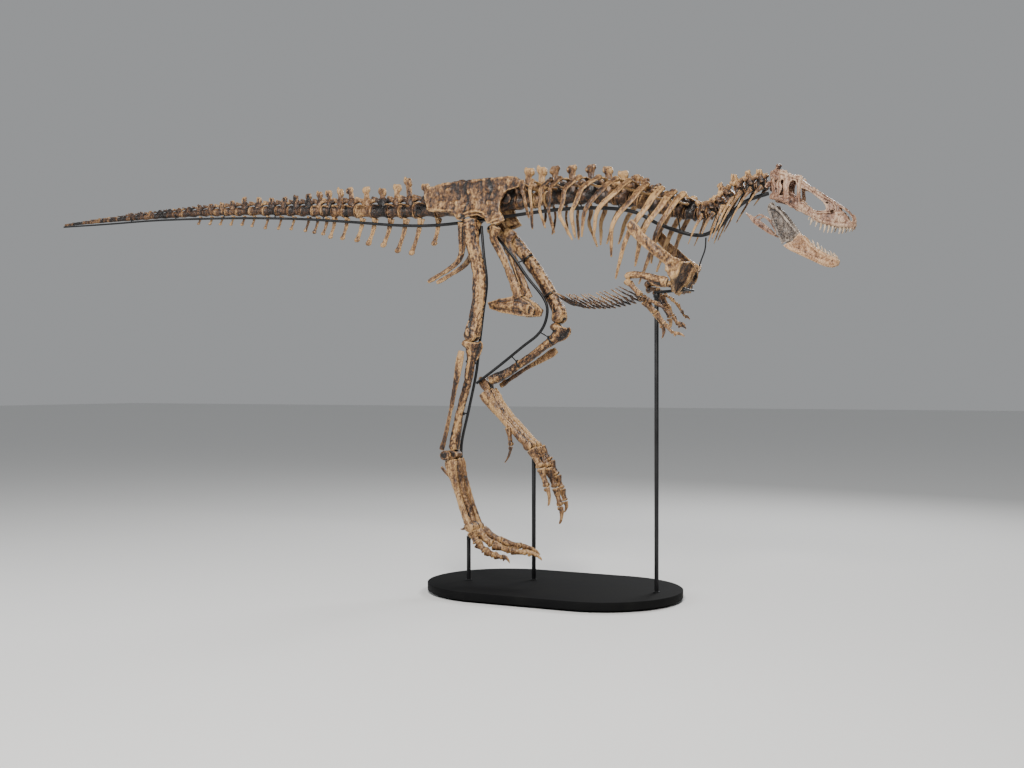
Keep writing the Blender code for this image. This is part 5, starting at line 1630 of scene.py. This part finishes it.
# %% [markdown]
# ## Lower jaws
#
# Each jaw is two bones with a slanting seam: a thin plate behind, and the tooth-bearing bone in
# front, which is thicker and paler.

# %% Jaws
REAR_PLATE = mm("1443 2450, 1465 2470, 1484 2463, 1489 2443, 1512 2421, 1557 2366, 1611 2293, "
                "1628 2274, 1600 2262, 1578 2236, 1548 2226, 1527 2214, 1512 2251, 1490 2320, "
                "1458 2386, 1442 2423")
FRONT_BONE = mm("1632 2279, 1660 2244, 1700 2203, 1735 2178, 1768 2155, 1828 2127, 1852 2104, "
                "1842 2082, 1808 2070, 1754 2083, 1676 2124, 1580 2173, 1535 2205, 1556 2218, "
                "1584 2228, 1606 2252")
JAW_TEETH = mm("1672 2228 12, 1692 2211 26, 1713 2194 42, 1740 2176 46, 1757 2164 16, "
               "1780 2150 34, 1797 2142 16, 1812 2135 34, 1832 2124 34, 1844 2112 14")
JAW_SPREAD = mm("1440 78, 1580 70, 1760 41, 1860 14")


def jaw_y(x):
    return table(JAW_SPREAD, x)


def to_jaw(p):
    return Vector((p.x, p.y - jaw_y(p.x), p.z))


rear = fuse([cut_out(blade(REAR_PLATE, 0.009), [round_hole(1.560, 2.250, 0.008)]),
             flat_bar("1462 2448, 1505 2420, 1555 2358, 1608 2288",
                      "0 24 26, 40 20 18, 100 12 12", OUT),
             flat_bar("1452 2420, 1476 2360, 1502 2300, 1528 2232",
                      "0 18 20, 50 14 16, 100 12 14"),
             *knobs("1463 0 2450 18 16 16, 1452 0 2428 12 11 16, 1520 -3 2340 22 7 55, "
                    "1548 -3 2285 20 6 30")], 0.0030, 3)
front = fuse([blade(FRONT_BONE, 0.012),
              flat_bar("1640 2262, 1700 2194, 1765 2147, 1840 2108",
                       "0 10 14, 40 18 18, 100 18 26", OUT),
              flat_bar("1560 2196, 1620 2170, 1700 2130, 1800 2088",
                       "0 14 18, 40 20 28, 100 20 30", OUT),
              *knobs("1832 2 2098 18 13 20")], 0.0030, 3)
rear, front = (bent(pitted(part, 0.0016, 0.016), to_jaw) for part in (rear, front))
for part, name, look, tone in ((rear, "jaw_plate", "grey", 0.40),
                               (front, "tooth_bone", "peach", 0.24)):
    twin = mirror_copy(part)
    done(part, f"{name}_right", look, ["jaw_right"] if part is front else (), tone)
    done(twin, f"{name}_left", look, ["jaw_left"] if part is front else (), tone)
for s, side in SIDES:
    row = [tooth_at(x + 0.004 * (s > 0), s * (jaw_y(x) - 0.001), z - 0.006,
                    (length + 0.004) * (1.0 if s < 0 else FAR_SIDE), -1)
           for x, z, length in JAW_TEETH]
    done(joined(row), f"lower_teeth_{side}", "tooth", tone=0.5)
bpy.data.objects.remove(tooth)

# %% Tongue bones
for s, side in SIDES:
    bar = sweep(on_side("1300 40 2420, 1335 46 2388, 1375 50 2352, 1425 52 2312, 1478 52 2270", s),
                "0 6 10, 20 9 20, 40 11 36, 75 10 30, 92 8 18, 100 5 8", count=14, sides=10)
    bow = sweep(on_side("1352 47 2384, 1392 50 2402, 1436 52 2372, 1466 52 2334, 1486 52 2292, "
                        "1482 52 2276", s), "0 8 12, 50 9 12, 100 7 8", count=14)
    done(pitted(fuse([bar, bow], 0.0030, 1), 0.0012, 0.015), f"tongue_bone_{side}", "skull",
         [f"hyoid_{side}"], tone=0.25)
print("head done", len(made_pieces))

# %% [markdown]
# ## Stand
#
# The base is a bar with round ends, 65 mm high, on a plinth that is set back so that it seems to
# float. Three rods stand on it. Thin steel pipes, bent to each bone, carry the skeleton.

# %% Base
BASE_LENGTH, BASE_WIDTH, BASE_TOP = 1.73, 1.08, 0.065
PLINTH_HEIGHT, PLINTH_INSET = 0.015, 0.03


def broken_edges(body, width, segments):
    """BODY with its sharp edges rounded off."""
    edge = body.modifiers.new("edge", "BEVEL")
    edge.width = width
    edge.segments = segments
    edge.limit_method = "ANGLE"
    return apply_all(body)


def stadium_slab(length, width, low, high, rounding):
    """A slab with round ends: a cylinder whose two halves are drawn apart, its edges rounded."""
    deselect_all()
    bpy.ops.mesh.primitive_cylinder_add(vertices=128, radius=width / 2, depth=high - low,
                                        location=(0, 0, (low + high) / 2),
                                        rotation=(0, 0, math.pi / 128))
    slab = bpy.context.object
    bpy.ops.object.transform_apply(location=True, rotation=True, scale=True)
    for way in (1, -1):
        bpy.ops.object.mode_set(mode="EDIT")
        bpy.ops.mesh.select_all(action="DESELECT")
        bpy.ops.object.mode_set(mode="OBJECT")
        for point in slab.data.vertices:
            point.select = point.co.x * way > 0
        bpy.ops.object.mode_set(mode="EDIT")
        bpy.ops.transform.translate(value=(way * (length - width) / 2, 0, 0))
        bpy.ops.object.mode_set(mode="OBJECT")
    return broken_edges(slab, rounding, 3)


def made_of_steel(body, name, nodes=(), look="steel"):
    """Finishes a metal part: as a bone, but its edges stay sharp."""
    done(body, name, look, nodes)
    bpy.ops.object.shade_smooth_by_angle(angle=math.radians(40))


slab = stadium_slab(BASE_LENGTH, BASE_WIDTH, PLINTH_HEIGHT, BASE_TOP, 0.004)
plinth = stadium_slab(BASE_LENGTH - 2 * PLINTH_INSET, BASE_WIDTH - 2 * PLINTH_INSET, 0.0,
                      PLINTH_HEIGHT + 0.002, 0.0008)
made_of_steel(slab, "base_slab", ["stand_base"], "base")
made_of_steel(plinth, "base_plinth", look="base")
print("base", BASE_LENGTH, "by", BASE_WIDTH)

# %% Rods
RODS = {"rear": (-0.578, -0.09, 0.36), "middle": (-0.187, 0.105, 0.90),
        "front": (0.716, 0.0, 1.935)}


def turned_bar(x, y, low, high, radius, rounding=0.001):
    """An upright round bar with broken edges."""
    deselect_all()
    bpy.ops.mesh.primitive_cylinder_add(vertices=40, radius=radius, depth=high - low,
                                        location=(x, y, (low + high) / 2))
    bar = bpy.context.object
    bpy.ops.object.transform_apply(location=True, rotation=True, scale=True)
    return broken_edges(bar, rounding, 2)


for name, (x, y, top) in RODS.items():
    shaft = turned_bar(x, y, BASE_TOP - 0.004, top - 0.012, 0.0135)
    collar = turned_bar(x, y, BASE_TOP, BASE_TOP + 0.006, 0.021, 0.002)
    cap = turned_bar(x, y, top - 0.030, top, 0.0145, 0.003)
    made_of_steel(joined([shaft, collar, cap]), f"rod_{name}", [f"stand_rod_{name}"])

# %% [markdown]
# The pipes follow the bones: one under the whole column, one down each leg, a bracket on top of
# the front rod for the shoulders, and a thin hanger for the wishbone.

# %% Pipes
SPINE_PIPE = mm("-4340 -14 2654, -3850 -17 2650, -3400 -20 2650, -2950 -22 2637, -2470 -24 2614, "
                "-2000 -24 2580, -1580 -22 2535, -1170 -20 2487, -860 -12 2472, -500 0 2490, "
                "0 0 2523, 330 0 2516, 560 0 2478, 720 0 2395, 840 0 2345, 950 0 2310, "
                "1040 0 2308, 1130 0 2355, 1210 0 2440, 1300 0 2500, 1430 0 2535")
HANGER_PIPE = mm("1038 0 2288, 1032 0 2215, 1008 0 2150, 996 0 2112")
LEFT_LEG_PIPE = mm("-500 50 2440, -322 50 2246, -215 66 2093, -114 85 1965, -80 88 1880, "
                   "-98 84 1780, -152 80 1705, -250 76 1635, -420 70 1510, -600 66 1385")
RIGHT_LEG_PIPE = mm("-500 -55 2440, -475 -70 2250, -450 -75 2050, -475 -80 1850, -500 -80 1660, "
                    "-530 -75 1450, -590 -70 1200, -650 -62 950, -630 -52 720, -590 -50 520, "
                    "-578 -54 385")


def pipe(path, thick, count, thin=None):
    ends = ((0, thin or thick, thin or thick), (0.5, thick, thick), (1, thick, thick))
    return sweep(path, ends, sides=16, count=count)


made_of_steel(pipe(SPINE_PIPE, 0.024, 110, 0.012), "pipe_spine", ["stand_spine_pipe"])
made_of_steel(pipe(LEFT_LEG_PIPE, 0.019, 50), "pipe_leg_left", ["stand_leg_pipe_left"])
made_of_steel(pipe(RIGHT_LEG_PIPE, 0.019, 56), "pipe_leg_right", ["stand_leg_pipe_right"])
made_of_steel(pipe(HANGER_PIPE, 0.009, 18), "hanger_wishbone", ["stand_wishbone_hanger"])
bracket = [pipe(mm("704 0 1958, 820 0 1964, 931 0 1970"), 0.019, 8),
           pipe(mm("925 -100 1970, 925 0 1968, 925 100 1970"), 0.016, 8),
           turned_bar(0.716, 0, 1.925, 1.950, 0.020, 0.003)]
made_of_steel(joined(bracket), "bracket_chest", ["stand_chest_bracket"])

# %% [markdown]
# A bone lies in open bands, bent round the side that faces the pipe and welded to it by a short
# stalk, so that it can be lifted out. Nothing is drilled.

# %% Bands and stalks
def band(centre, axis, toward, radius, turn, wide=0.014):
    """An open strap round a bone at CENTRE, with the stalk that ties it to the pipe at TOWARD."""
    axis = axis.normalized()
    out = toward - centre
    out = (out - axis * out.dot(axis)).normalized()
    across = axis.cross(out)
    arc = [centre + (out * math.cos(t) + across * math.sin(t)) * radius
           for t in np.linspace(-turn / 2, turn / 2, 15)]
    strap = sweep(arc, ((0, wide, 0.004), (1, wide, 0.004)), side=axis)
    weld = centre + out * radius
    stalk = pipe([weld, toward.lerp(weld, 0.5), toward], 0.009, 4)
    return [strap, stalk]


def nearest(path, spot):
    return min(path, key=lambda p: (p - spot).length)


held = []
for s, bones, route in ((-1, RIGHT_LEG, RIGHT_LEG_PIPE), (1, LEFT_LEG, LEFT_LEG_PIPE)):
    route = smooth_path(route, 200)
    thigh = smooth_path(thigh_line(s, bones), STATIONS)
    shin = smooth_path(shin_line(bones), STATIONS)
    foot = smooth_path(limb(bones["metatarsus"], bones["foot_y"], bones["foot_y"]), STATIONS)
    stops = [(thigh, 6, 0.046), (thigh, 12, 0.047), (shin, 5, 0.040), (shin, 12, 0.034)]
    if s < 0:
        stops += [(foot, 5, 0.052), (foot, 13, 0.050)]
    for line, k, radius in stops:
        centre = line[k]
        held += band(centre, line[k + 1] - line[k - 1], nearest(route, centre), radius, 3.4)
spine_route = smooth_path(SPINE_PIPE, 400)
for x in (-3.62, -3.17, -2.70, -2.23, -1.80, -1.38, -1.01, -0.16, 0.20, 0.47, 0.68, 0.87, 1.10,
          1.27):
    centre, along, up = column_frame(x)
    below = min(spine_route, key=lambda p: abs(p.x - x))
    held += band(centre, along, below, table(BODY_RADIUS, x) * 0.86 + 0.002, 2.3, 0.010)
made_of_steel(joined(held), "bands")
print("bands", len(held) // 2)
print("stand done", len(made_pieces))

# %% Sizes and finish
print("pieces", len(made_pieces), "faces", sum(made_pieces.values()))
